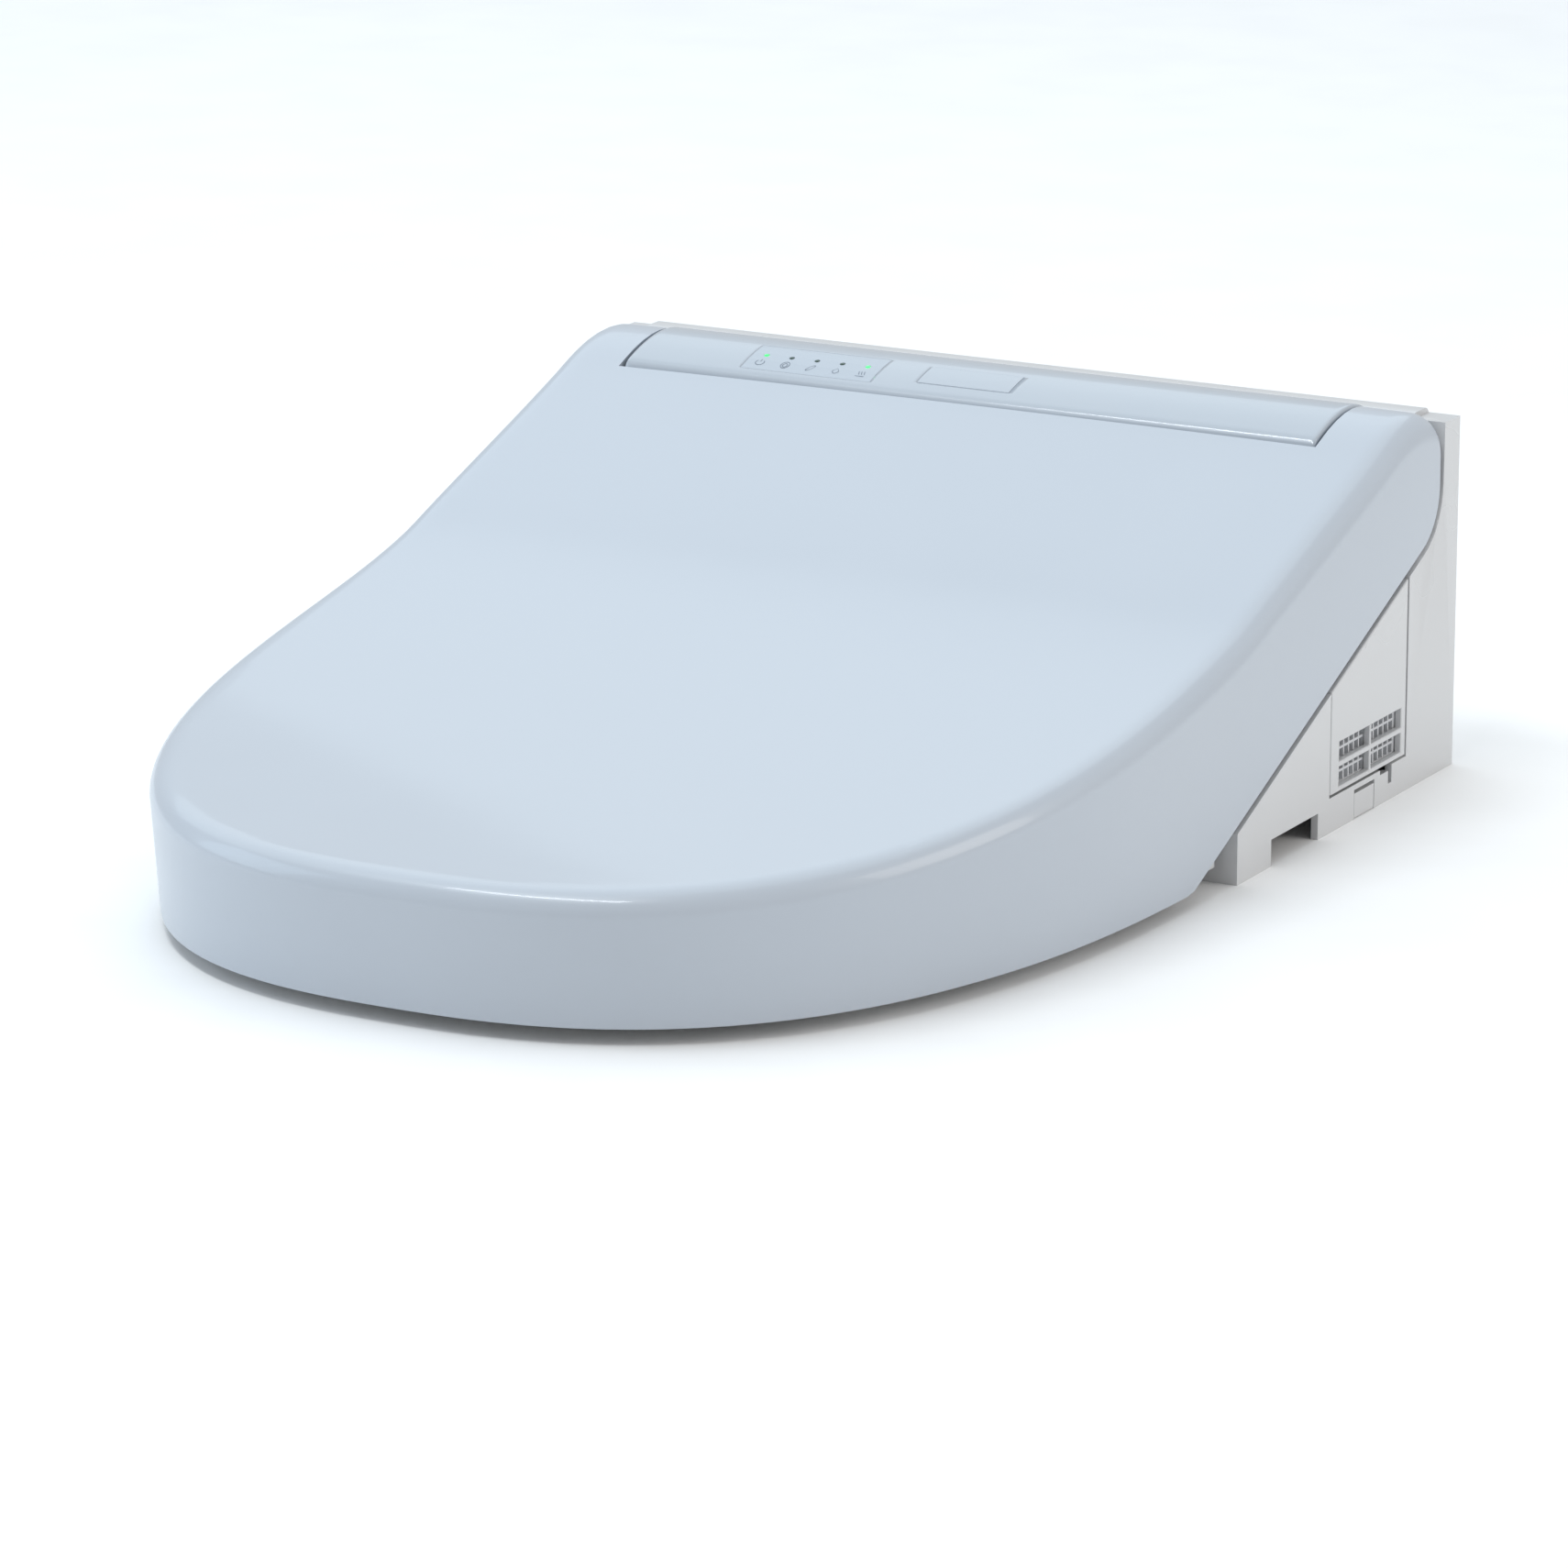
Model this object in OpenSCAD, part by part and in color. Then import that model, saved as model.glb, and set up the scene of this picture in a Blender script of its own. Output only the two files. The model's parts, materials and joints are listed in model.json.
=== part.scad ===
// Electric bidet seat: a heated seat and lid on a rear unit that slides onto a mounting plate.
// +X is the right side, +Z is up, and the front is towards -Y. The origin is midway between the
// two bowl bolts, on the top face of the bowl. All sizes are in millimetres.

/* [Overall] */
// Width across the rear unit and the lid
unit_w = 390; // [372:1:420]
// Height of the unit's rear corners above the bowl
unit_h = 148; // [146:1:156]
// Distance from the bowl bolts back to the rear face
rear_d = 58; // [56:1:75]
// Distance from the bowl bolts forward to the lid's front edge
front_d = 470; // [430:1:520]
// Thickness of the moulded plastic walls
wall = 3; // [2:0.1:3.5]

/* [Lid] */
// Height of the lid's lower edge above the bowl
lid_clear = 6.5; // [5:0.5:9]
// Length of the rounded front part of the lid
lid_round_l = 282; // [240:1:300]
// Squareness of the rounded front (2 is an ellipse)
lid_square = 2.48; // [2:0.01:2.7]
// Height of the lid's top at its front edge
lid_front_h = 56; // [50:1:62]
// Seam between the lid and the unit
seam = 2.3; // [1.5:0.1:3.5]
// How far the top panel rises above the lid's shoulders
crown_h = 1.2; // [0.5:0.1:2]

/* [Hinge] */
// Height of the lid and seat hinge axis
hinge_z = 140; // [139:0.5:141]
// Distance of the hinge axis behind the bowl bolts
hinge_y = 18; // [16:0.5:20]
// Diameter of the hinge pins
pin_d = 8; // [6:0.5:8]
// Radial running clearance on the pins
pin_fit = 0.08; // [0.02:0.01:0.1]
// Diameter of the soft-close dampers
damper_d = 12; // [10:0.5:12.6]
// Length of the soft-close dampers
damper_l = 44; // [30:1:48]

/* [Seat] */
// Height of the seat's top above the bowl
seat_top_z = 38; // [34:1:42]
// Height of the seat's underside above the bowl
seat_under_z = 7.5; // [6:0.5:10]
// Width of the opening in the seat
hole_w = 212; // [190:1:225]
// Length of the opening in the seat
hole_l = 252; // [230:1:265]
// Gap between the seat's edge and the inside of the lid
seat_gap = 4.5; // [3:0.5:8]
// Thickness of the seat arms
arm_w = 11; // [8:0.5:12]

/* [Display] */
// Length of the top panel, front to rear
panel_l = 52.7; // [48:0.1:56]
// Width of the indicator window
window_w = 61.5; // [58:0.5:64]
// Length of the indicator window
window_l = 20.3; // [18:0.1:22]
// Spacing of the indicators
lamp_pitch = 12.1; // [11:0.1:13]
// Diameter of an indicator lamp
lamp_d = 2; // [1:0.1:3]
// Width of the blank badge
badge_w = 43; // [30:1:50]

/* [Wand] */
// Angle of the wand below the horizontal
wand_tilt = 30; // [26:1:32]
// Diameter of the wand tube
wand_d = 14; // [12:0.5:15]
// Length of the wand
wand_l = 164; // [160:1:170]
// Travel of the wand
wand_travel = 100; // [85:1:100]
// Sliding clearance around the wand
wand_fit = 0.3; // [0.2:0.05:0.5]
// Gear module of the rack and pinion
gear_m = 1; // [0.8:0.1:1]
// Number of teeth on the pinion
gear_n = 18; // [18:1:20]

/* [Mounting] */
// Spacing of the bowl bolts
bolt_pitch = 140; // [130:1:150]
// Diameter of the holes for the bowl bolts
bolt_hole_d = 11; // [8:0.5:12]
// Width of the mounting plate
plate_w = 196; // [186:1:200]
// Thickness of the mounting plate
plate_t = 4.5; // [3:0.5:4.5]

/* [Connections] */
// Thread diameter of the water inlet
inlet_d = 20.9; // [18:0.1:22]
// Bore of the power lead's gland
gland_bore_d = 7.2; // [6:0.1:8]

/* [Hidden] */
$fn = 48;
eps = 0.01;

// ---- helpers -------------------------------------------------------------------------------

// Points of a cubic Bezier curve through four control points, in count steps
function bezier(p, count) = [for (i = [0:count]) let (t = i / count, u = 1 - t)
    u*u*u*p[0] + 3*u*u*t*p[1] + 3*u*t*t*p[2] + t*t*t*p[3]];

// Points of an arc about c from angle a0 to a1
function arc(c, r, a0, a1, count) = [for (i = [0:count]) let (a = a0 + (a1 - a0) * i / count)
    c + r * [cos(a), sin(a)]];

// Half of a rounded plan outline: half-width a, length b, squareness n, from the right to the left
function round_front(a, b, n, yc, count) = [for (i = [0:count]) let (t = 180 * i / count)
    [a * sign(cos(t)) * pow(abs(cos(t)), 2 / n), yc - b * pow(abs(sin(t)), 2 / n)]];

// Extrudes a side profile, drawn as [y, z], from x0 to x1
module along_x(x0, x1) {
    translate([x0, 0, 0]) rotate([90, 0, 90]) linear_extrude(x1 - x0) children();
}

// Extrudes a front profile, drawn as [x, z], from y0 to y1
module along_y(y0, y1) {
    translate([0, y1, 0]) rotate([90, 0, 0]) linear_extrude(y1 - y0) children();
}

// Extrudes a plan from z0 to z1
module along_z(z0, z1) {
    translate([0, 0, z0]) linear_extrude(z1 - z0) children();
}

// A box between two corners
module box(low, high) {
    translate(low) cube(high - low);
}

// A shaft along X
module shaft_x(x0, x1, d, y, z) {
    translate([x0, y, z]) rotate([0, 90, 0]) cylinder(d = d, h = x1 - x0);
}

// A shaft along Y
module shaft_y(y0, y1, d, x, z) {
    translate([x, y1, z]) rotate([90, 0, 0]) cylinder(d = d, h = y1 - y0);
}

module both_sides() {
    children();
    mirror([1, 0, 0]) children();
}

// A rectangle with round corners, drawn exactly
module round_rect(low, high, r) {
    translate([low.x + r, low.y]) square([high.x - low.x - 2*r, high.y - low.y]);
    translate([low.x, low.y + r]) square([high.x - low.x, high.y - low.y - 2*r]);
    for (x = [low.x + r, high.x - r], y = [low.y + r, high.y - r]) translate([x, y]) circle(r);
}

// ---- shared sizes --------------------------------------------------------------------------

half_w = unit_w / 2;
lid_half_w = half_w - 0.5;
lid_round_y = lid_round_l - front_d;

// Lid: the shoulder curve beside the panel, the steep curve in front of it, and the flat nose
stripe_y = rear_d - 15;
ear_rear_y = stripe_y - seam - 0.5;
panel_front_y = ear_rear_y + 1.3 - panel_l;
panel_seam = 1.6;
ear_top = unit_h + 2.2;
brow_h = unit_h - 2.5;
shoulder_curve = bezier([[ear_rear_y, ear_top], [ear_rear_y - 12.2, ear_top + 6.3],
    [ear_rear_y - 30.2, ear_top + 4.8], [panel_front_y, brow_h]], 10);
slope_z = brow_h - 42.5;
slope_y = panel_front_y - 118.8;
steep_curve = bezier([[panel_front_y, brow_h], [panel_front_y - 38.8, brow_h - 15],
    [panel_front_y - 83.8, brow_h - 29.5], [slope_y, slope_z]], 10);
nose_curve = bezier([[slope_y, slope_z], [slope_y - 35, slope_z - 14.5],
    [slope_y - 170, slope_z - 37], [-front_d, lid_front_h]], 12);
lid_curve = concat([for (p = shoulder_curve) p], [for (i = [1:10]) steep_curve[i]],
    [for (i = [1:12]) nose_curve[i]]);

// Lid's lower edge: a line that climbs to the rear, then an arc round the hinge to the rear edge
edge_slope = 0.43;
edge_angle = atan(edge_slope);
edge_y = 9;
edge_z = unit_h - 56;
ear_r = 26.2;
ear_c = [ear_rear_y - ear_r,
    edge_z + edge_slope * (ear_rear_y - ear_r - edge_y) + ear_r / cos(edge_angle)];
edge_low_y = edge_y - (edge_z - lid_clear) / edge_slope;
function edge_at(y) = edge_z + edge_slope * (y - edge_y);

// Middle of the unit, between the seat arms
mid_half_w = half_w - 34.2;
mid_top = unit_h - 4.4;
mid_front_y = panel_front_y - 80.7;
mid_slope_z = 40;
bay_half_w = mid_half_w + 1.6;
cheek_front_y = panel_front_y - 139.2;
rim_h = unit_h + 2.5;
cheek_x = mid_half_w - 1;

// Lower case: the raised channel over the mounting plate
floor_z = 0.5;
floor_t = 4;
channel_half_w = plate_w / 2 + 5;
channel_z = 9.5;
case_front_y = mid_front_y + wall + 0.4;
case_rear_y = rear_d - wall - 0.4;
case_half_w = mid_half_w - 5;
screw_x = [channel_half_w + 9, case_half_w - 9];
screw_y = [case_front_y + 5.6, case_rear_y - 5.6];
screw_d = 4;
boss_d = 13;
boss_top = 14;

// Seat
seat_half_w = lid_half_w - wall - seat_gap;
seat_front_d = front_d - wall - seat_gap;
seat_rear_y = mid_front_y - 5;
seat_side_y = cheek_front_y - 4;
seat_wall = 3;
hole_y = -262;
bridge_z = 29;
seat_rear_half_w = mid_half_w - 4;
arm_x = mid_half_w + 2;
arm_h = 14;
arm_end_y = cheek_front_y - 20;
arm_end_z = 29;

// Hinge stack, from the middle outwards
lid_knuckle_x = arm_x + arm_w + 1.5;
knuckle_d = pin_d + 4;
pin_x0 = mid_half_w - wall - damper_l / 2;
pin_x1 = lid_half_w - wall - 2;

// Filter cover and detach button on the right side
cover_y = [-64, 10];
cover_z0 = 15;
cover_gap = 0.5;
cover_t = 3;
filter_t = 16;
button_y = [-40.3, -20.5];
button_h = 10.7;
stem_z = floor_z + floor_t + 3.9;
notch_y = [-119, -75];
notch_h = 11;
hook_y = [-15, -3.5];
hook_z = [7, 15];

// Left side connections
inlet_y = -66;
inlet_z = 17;
neck_d = inlet_d - 1.8;
recess_y = [inlet_y - 21, inlet_y + 21];
recess_h = 34;
recess_depth = 32;
gland_y = 34;
gland_z = 22;
gland_d = 15;

// Wand: its own frame has the origin at the mouth, with +Y up the wand to the rear
mouth_y = mid_front_y - 12;
mouth_z = 12;
tip_l = 14;
rack_w = 5;
rack_z = wand_d / 2 + 2.2;
pinion_pos = 58;
pinion_r = gear_m * gear_n / 2;
pinion_z = rack_z + pinion_r + 0.1;
guide_w = wand_d + 8;
guide_l = 112;

module wand_frame() {
    translate([0, mouth_y, mouth_z]) rotate([wand_tilt, 0, 0]) children();
}

// Dryer, on the left
outlet_x = [-88, -40];
outlet_z = [7, 24];
flap_t = 2;
dryer_x = [-130, -96];
dryer_c = [-38, 62];
dryer_r = 26;

// Deodorizer fan, behind the filter
deo_x = [128, 158];
deo_c = [-26, 46];
deo_r = 21;

// ---- profiles ------------------------------------------------------------------------------

module lid_plan(inset) {
    polygon(concat(
        [[lid_half_w - inset, rear_d], [lid_half_w - inset, lid_round_y]],
        [for (p = round_front(lid_half_w - inset, lid_round_l - inset, lid_square, lid_round_y, 48))
            if (p.y < lid_round_y - 1) p],
        [[inset - lid_half_w, lid_round_y], [inset - lid_half_w, rear_d]]));
}

// Side view of the lid: its top, dropped by down, and its lower edge
module lid_side() {
    polygon(concat(
        [for (p = lid_curve) p],
        [[-front_d, lid_clear], [edge_low_y, lid_clear]],
        arc(ear_c, ear_r, edge_angle - 90, 0, 8)));
}

module lid_side_inner() {
    polygon(concat([[rear_d, ear_top - wall]], [for (p = lid_curve) [p.x, p.y - wall]],
        [[-front_d, -eps], [rear_d, -eps]]));
}

// Side view of the unit's cheeks, inset by in and cut back from the lid's edge
module cheek_side(in) {
    difference() {
        translate([cheek_front_y + in, -in * 10])
            square([rear_d - cheek_front_y - 2*in, unit_h - in + in * 10]);
        polygon(concat(
            arc(ear_c, ear_r + seam + in, edge_angle - 90, 0, 8),
            [[stripe_y + in, unit_h + 1], [cheek_front_y - 60, unit_h + 1],
             [cheek_front_y - 60, edge_at(cheek_front_y - 60) - (seam + in) / cos(edge_angle)]]));
    }
}

// Side view of the middle of the unit
module mid_side(in) {
    below = -in * 10;
    run = in / cos(atan2(50, 95));
    lip_y = panel_front_y + wall + 0.4;
    polygon([[rear_d - in, below], [rear_d - in, mid_top - in], [lip_y + in, mid_top - in],
        [lip_y + in, mid_top - 5 - 0.7 * in], [panel_front_y - 9, mid_top - 9.6 - 1.1 * in],
        [panel_front_y - 29.8 + 0.8 * in, mid_top - 15.6 - 0.8 * in],
        [mid_front_y + run, mid_slope_z], [mid_front_y + in, below]]);
}

// Side view of the rear rim that stands behind the panel
module rim_side() {
    r = 4;
    polygon(concat([[stripe_y, mid_top - 2], [rear_d, mid_top - 2]],
        arc([rear_d - r, rim_h - r], r, 0, 90, 6),
        arc([stripe_y + 2, rim_h - 2], 2, 90, 180, 4)));
}

// Top panel in side view: a curved skin with a lip at the front
module panel_side(in) {
    polygon(concat([for (p = shoulder_curve) [p.x + (p.x > 0 ? 1.3 : 0) - (p.x > 0 ? in : -in),
        p.y + crown_h - in]], [[panel_front_y + in, mid_top - 4.5], [ear_rear_y + 1.3 - in, mid_top - 4.5]]));
}

// A layer that follows the panel's top, from z0 to z1 above it
module panel_layer(z0, z1) {
    rise = crown_h;
    back = [for (i = [len(shoulder_curve) - 1:-1:0]) shoulder_curve[i] + [0, rise + z0]];
    polygon(concat([for (p = shoulder_curve) p + [0, rise + z1]], back));
}

module seat_plan(in) {
    w = seat_half_w - in;
    rear_w = seat_rear_half_w - in;
    polygon(concat([[rear_w, seat_side_y - in], [w, seat_side_y - in]],
        [for (p = round_front(w, lid_round_l - wall - seat_gap - in, lid_square, lid_round_y, 48))
            if (p.y < lid_round_y - 1) p],
        [[-w, seat_side_y - in], [-rear_w, seat_side_y - in], [-rear_w, seat_rear_y - in],
         [rear_w, seat_rear_y - in]]));
}

module hole_plan(out) {
    half = round_front(hole_w / 2 + out, hole_l / 2 + out, 2.2, 0, 24);
    translate([0, hole_y]) {
        polygon(half);
        mirror([0, 1]) polygon(half);
    }
}

module seat_ring(in) {
    difference() {
        seat_plan(in);
        hole_plan(in);
    }
}

// The raised bridge at the rear of the seat clears the wand and the dryer
module bridge_clear(grow) {
    box([-hole_w / 2 + 6 - grow, seat_side_y - grow, 0],
        [hole_w / 2 - 6 + grow, seat_rear_y + 5, bridge_z + grow]);
}

// ---- mounting plate (stays on the bowl) ----------------------------------------------------

plate_z = 1.5;
plate_y = [-26, rear_d - 10];
slot_l = 30;
slot_w = 20;
adjuster_t = 2.2;

module mounting_plate() {
    color("gainsboro") difference() {
        union() {
            box([-plate_w / 2, plate_y[0], plate_z], [plate_w / 2, plate_y[1], plate_z + plate_t]);
            both_sides() box([plate_w / 2 - 6, plate_y[0], plate_z],
                [plate_w / 2, plate_y[1], channel_z - 0.6]);
        }
        for (x = [-1, 1] * bolt_pitch / 2)
            along_z(0, channel_z) translate([x, 0])
                square([slot_w, slot_l], center = true);
        box([-24, plate_y[0] + 10, 0], [24, plate_y[1] - 12, channel_z]);
    }
}

// Each adjuster fills the slot and holds the bolt where the bowl's hole is
module bolt_adjusters() {
    color("silver") for (x = [-1, 1] * bolt_pitch / 2) difference() {
        union() {
            along_z(0, plate_z + plate_t) translate([x, 0])
                square([slot_w - 0.6, slot_l - 6], center = true);
            along_z(plate_z + plate_t, plate_z + plate_t + adjuster_t) translate([x, 0])
                square([slot_w + 10, slot_l + 4], center = true);
        }
        translate([x, 0, -1]) cylinder(d = bolt_hole_d, h = channel_z + 2);
    }
}

module plate_pads() {
    color("dimgray") for (x = [-1, 1] * (plate_w / 2 - 10), y = [plate_y[0] + 8, plate_y[1] - 8])
        along_z(0, plate_z) translate([x, y]) circle(6);
}

// ---- casing --------------------------------------------------------------------------------

cover_in = 8;
rear_open_x = mid_half_w - 26;
rear_open_z = [22, 122];

module left_recess(grow) {
    box([-half_w - (grow > 0 ? 0 : 1), recess_y[0] - grow, grow > 0 ? 0 : -1],
        [-half_w + recess_depth + grow, recess_y[1] + grow, recess_h + grow]);
}

module housing() {
    color("white") difference() {
        union() {
            difference() {
                union() {
                    along_x(-mid_half_w, mid_half_w) mid_side(0);
                    both_sides() along_x(cheek_x, half_w) cheek_side(0);
                    along_x(-half_w + 14, half_w - 14) rim_side();
                }
                along_x(wall - mid_half_w, mid_half_w - wall) mid_side(wall);
                both_sides() {
                    along_x(cheek_x + wall, half_w - wall) cheek_side(wall);
                    along_x(mid_half_w - wall - 1, cheek_x + wall + 1) intersection() {
                        mid_side(wall);
                        cheek_side(wall);
                    }
                }
            }
            left_recess(wall);
            for (x = screw_x, y = screw_y, s = [-1, 1])
                translate([s * x, y, floor_z + floor_t + 0.2])
                    cylinder(d = boss_d, h = boss_top - floor_z - floor_t);
            // boss for the power lead's gland
            shaft_x(-half_w, -half_w + 10, gland_d + 6, gland_y, gland_z);
        }
        for (x = screw_x, y = screw_y, s = [-1, 1])
            translate([s * x, y, 0]) cylinder(d = screw_d + 0.1, h = boss_top - 1.5);
        // hinge pin holes and the bays for the dampers
        both_sides() {
            shaft_x(mid_half_w - wall - 1, mid_half_w + 1, pin_d + 0.04, hinge_y, hinge_z);
            box([mid_half_w - wall - damper_l - 2, hinge_y - damper_d / 2 - 1, hinge_z - 3],
                [mid_half_w - wall, hinge_y + damper_d / 2 + 1, mid_top + 1]);
        }
        // way in for the mounting plate, and the rear cover's opening with its rebate
        box([-channel_half_w, rear_d - wall - 1, -1], [channel_half_w, rear_d + 1, channel_z]);
        box([-rear_open_x, rear_d - wall - 1, rear_open_z[0]],
            [rear_open_x, rear_d + 1, rear_open_z[1]]);
        box([-rear_open_x - cover_in, rear_d - 1.8, rear_open_z[0] - cover_in],
            [rear_open_x + cover_in, rear_d + 1, rear_open_z[1] + cover_in]);
        // ways out for the wand and the warm air
        box([-guide_w / 2 - 1, mid_front_y - 1, 2], [guide_w / 2 + 1, mid_front_y + 9, mid_slope_z + 8]);
        box([outlet_x[0], mid_front_y - 1, outlet_z[0]], [outlet_x[1], mid_front_y + wall + 1, outlet_z[1]]);
        // filter opening, hook slot and button opening on the right
        box([half_w - wall - 1, cover_y[0] - cover_gap, cover_z0 - cover_gap],
            [half_w + 1, cover_y[1] + cover_gap, unit_h - 20]);
        box([half_w - wall - 1, hook_y[0], hook_z[1] - 2.5], [half_w + 1, hook_y[1], hook_z[1]]);
        box([half_w - wall - 1, hook_y[1] - 3.5, hook_z[0]], [half_w + 1, hook_y[1], hook_z[1]]);
        box([half_w - wall - 1, button_y[0], -1], [half_w + 1, button_y[1], button_h + 1.6]);
        both_sides() box([half_w - wall - 1, notch_y[0], -1], [half_w + 1, notch_y[1], notch_h]);
        left_recess(0);
        shaft_x(-half_w + recess_depth - 1, -cheek_x + wall + 1, neck_d + 0.4, inlet_y, inlet_z);
        shaft_x(-half_w - 1, -half_w + 12, gland_d, gland_y, gland_z);
    }
}

module lower_case() {
    color("gainsboro") difference() {
        union() {
            box([-case_half_w, case_front_y, floor_z], [case_half_w, case_rear_y, floor_z + floor_t]);
            box([-channel_half_w - 2.5, plate_y[0] - 8, floor_z],
                [channel_half_w + 2.5, case_rear_y, channel_z + floor_t]);
        }
        box([-channel_half_w, plate_y[0] - 5.5, -1], [channel_half_w, rear_d, channel_z]);
        for (x = screw_x, y = screw_y, s = [-1, 1]) translate([s * x, y, 0]) {
            cylinder(d = screw_d + 0.2, h = 20);
            cylinder(d = screw_d * 2, h = floor_z + 2.2);
        }
    }
}

module case_screws() {
    color("silver") for (x = screw_x, y = screw_y, s = [-1, 1]) translate([s * x, y, floor_z + 0.1]) {
        cylinder(d = screw_d, h = 10);
        cylinder(d = screw_d * 1.8, h = 2);
    }
}

module body_feet() {
    color("dimgray") both_sides() for (y = [cheek_front_y + 14, rear_d - 14])
        along_z(0, 5) translate([half_w - wall - 11, y]) circle(8);
}

module panel_pocket(x, y, gap) {
    box([x[0] - gap, y[0] - gap, unit_h - 12], [x[1] + gap, y[1] + gap, unit_h + 12]);
}

window_x = [-107.3, -107.3 + window_w];
window_y = [-5.6, -5.6 + window_l];
badge_x = [-25.3, -25.3 + badge_w];
badge_y = [-2, 12.2];
lamp_y = window_y[1] - 9;
lamp_z = hinge_z + damper_d / 2 + 0.6;
function lamp_x(i) = window_x[0] + window_w / 2 + (i - 2) * lamp_pitch;

module display_panel() {
    end = mid_half_w + 0.2;
    color([0.84, 0.88, 0.92]) difference() {
        along_x(-end, end) panel_side(0);
        along_x(-end + wall, end - wall) difference() {
            panel_side(wall);
            translate([panel_front_y, unit_h - 60]) square([wall, 56]);
        }
        box([-end - 1, panel_front_y + wall, 0], [end + 1, rear_d, hinge_z + pin_d / 2 + 0.5]);
        intersection() {
            along_x(-end, end) panel_layer(-0.7, 4);
            union() {
                panel_pocket(window_x, window_y, 0.1);
                panel_pocket(badge_x, badge_y, 0.1);
            }
        }
        for (i = [0:4]) translate([lamp_x(i), lamp_y, mid_top]) cylinder(d = lamp_d + 0.4, h = 20);
    }
}

module indicator_window() {
    color([0.78, 0.82, 0.86]) difference() {
        intersection() {
            along_x(window_x[0], window_x[1]) panel_layer(-0.6, 0);
            panel_pocket(window_x, window_y, 0);
        }
        for (i = [0:4]) translate([lamp_x(i), lamp_y, mid_top]) cylinder(d = lamp_d + 0.4, h = 20);
    }
}

module indicator_lamps() {
    top = lookup(-lamp_y, [for (p = shoulder_curve) [-p.x, p.y]]) + crown_h;
    color("limegreen") for (i = [0:4]) translate([lamp_x(i), lamp_y, lamp_z])
        cylinder(d = lamp_d, h = top + 0.05 - lamp_z);
}

module blank_badge() {
    color([0.8, 0.84, 0.88]) intersection() {
        along_x(badge_x[0], badge_x[1]) panel_layer(-0.6, 0.2);
        panel_pocket(badge_x, badge_y, 0);
    }
}

module rear_cover() {
    gap = 0.4;
    x = rear_open_x + cover_in - gap;
    color("whitesmoke") box([-x, rear_d - 1.7, rear_open_z[0] - cover_in + gap],
        [x, rear_d, rear_open_z[1] + cover_in - gap]);
}

module power_gland() {
    color("dimgray") difference() {
        union() {
            shaft_x(-half_w, -half_w + 14, gland_d - 0.4, gland_y, gland_z);
            shaft_x(-half_w + 12.2, -half_w + 15, gland_d + 4, gland_y, gland_z);
        }
        shaft_x(-half_w - 1, -half_w + 16, gland_bore_d, gland_y, gland_z);
    }
}

// ---- hinge ---------------------------------------------------------------------------------

module hinge_pins() {
    color("silver") both_sides() shaft_x(pin_x0, pin_x1, pin_d, hinge_y, hinge_z);
}

module damper(side) {
    x1 = mid_half_w - wall - 0.3;
    mirror([side < 0 ? 1 : 0, 0, 0]) difference() {
        union() {
            shaft_x(x1 - damper_l, x1, damper_d, hinge_y, hinge_z);
            box([x1 - damper_l, hinge_y - 4, hinge_z - damper_d / 2 - 5],
                [x1 - damper_l + 8, hinge_y + 4, hinge_z]);
        }
        shaft_x(pin_x0 - 0.5, x1 + 1, pin_d + 0.1, hinge_y, hinge_z);
    }
}

module lid_damper() {
    color("dimgray") damper(1);
}

module seat_damper() {
    color("dimgray") damper(-1);
}

// ---- water and electrics -------------------------------------------------------------------

tank_x = [-148, -42];
tank_y = [0, 46];
tank_z = [16, 92];

module heater_tank() {
    t = 2.5;
    color("lightgray") difference() {
        union() {
            along_z(tank_z[0], tank_z[1]) round_rect([tank_x[0], tank_y[0]], [tank_x[1], tank_y[1]], 8);
            along_z(tank_z[1], tank_z[1] + 6) round_rect([tank_x[0] + 20, tank_y[0] + 10],
                [tank_x[0] + 50, tank_y[1] - 10], 4);
        }
        along_z(tank_z[0] + t, tank_z[1] - t) round_rect([tank_x[0] + t, tank_y[0] + t],
            [tank_x[1] - t, tank_y[1] - t], 6);
    }
}

module tank_element() {
    color("peru") for (z = [tank_z[0] + 16, tank_z[0] + 32, tank_z[0] + 48])
        shaft_x(tank_x[0] + 8, tank_x[1] - 8, 6, (tank_y[0] + tank_y[1]) / 2, z);
}

module water_inlet() {
    color("silver") difference() {
        union() {
            shaft_x(-half_w + 5, -half_w + recess_depth - 1, inlet_d, inlet_y, inlet_z);
            shaft_x(-half_w + 10, -cheek_x + wall + 3.3, neck_d, inlet_y, inlet_z);
            shaft_x(-cheek_x + wall + 0.6, -cheek_x + wall + 3.3, inlet_d + 3, inlet_y, inlet_z);
        }
        shaft_x(-half_w + 4, -cheek_x + wall + 8, 12, inlet_y, inlet_z);
    }
}

module inlet_strainer() {
    color("lightsteelblue") difference() {
        shaft_x(-half_w + 12, -half_w + 26, 11.6, inlet_y, inlet_z);
        shaft_x(-half_w + 11, -half_w + 24, 8, inlet_y, inlet_z);
    }
}

module solenoid_valve() {
    x = -cheek_x + wall + 3.8;
    color("steelblue") {
        box([x, inlet_y - 10, inlet_z - 10], [x + 20, inlet_y + 12, inlet_z + 10]);
        translate([x + 10, inlet_y, inlet_z + 9.9]) cylinder(d = 18, h = 20);
    }
}

pump_c = [-50, 26];
pump_x = [42, 92];
diverter_low = [-52, -30, 58];
diverter_high = [-22, -5, 84];
diverter_c = [-37, 71];
pipe_d = 6;

module water_pump() {
    color("slategray") {
        shaft_x(pump_x[0], pump_x[1] - 16, 24, pump_c.x, pump_c.y);
        box([pump_x[1] - 16, pump_c.x - 13, pump_c.y - 13], [pump_x[1], pump_c.x + 13, pump_c.y + 13]);
    }
}

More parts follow.
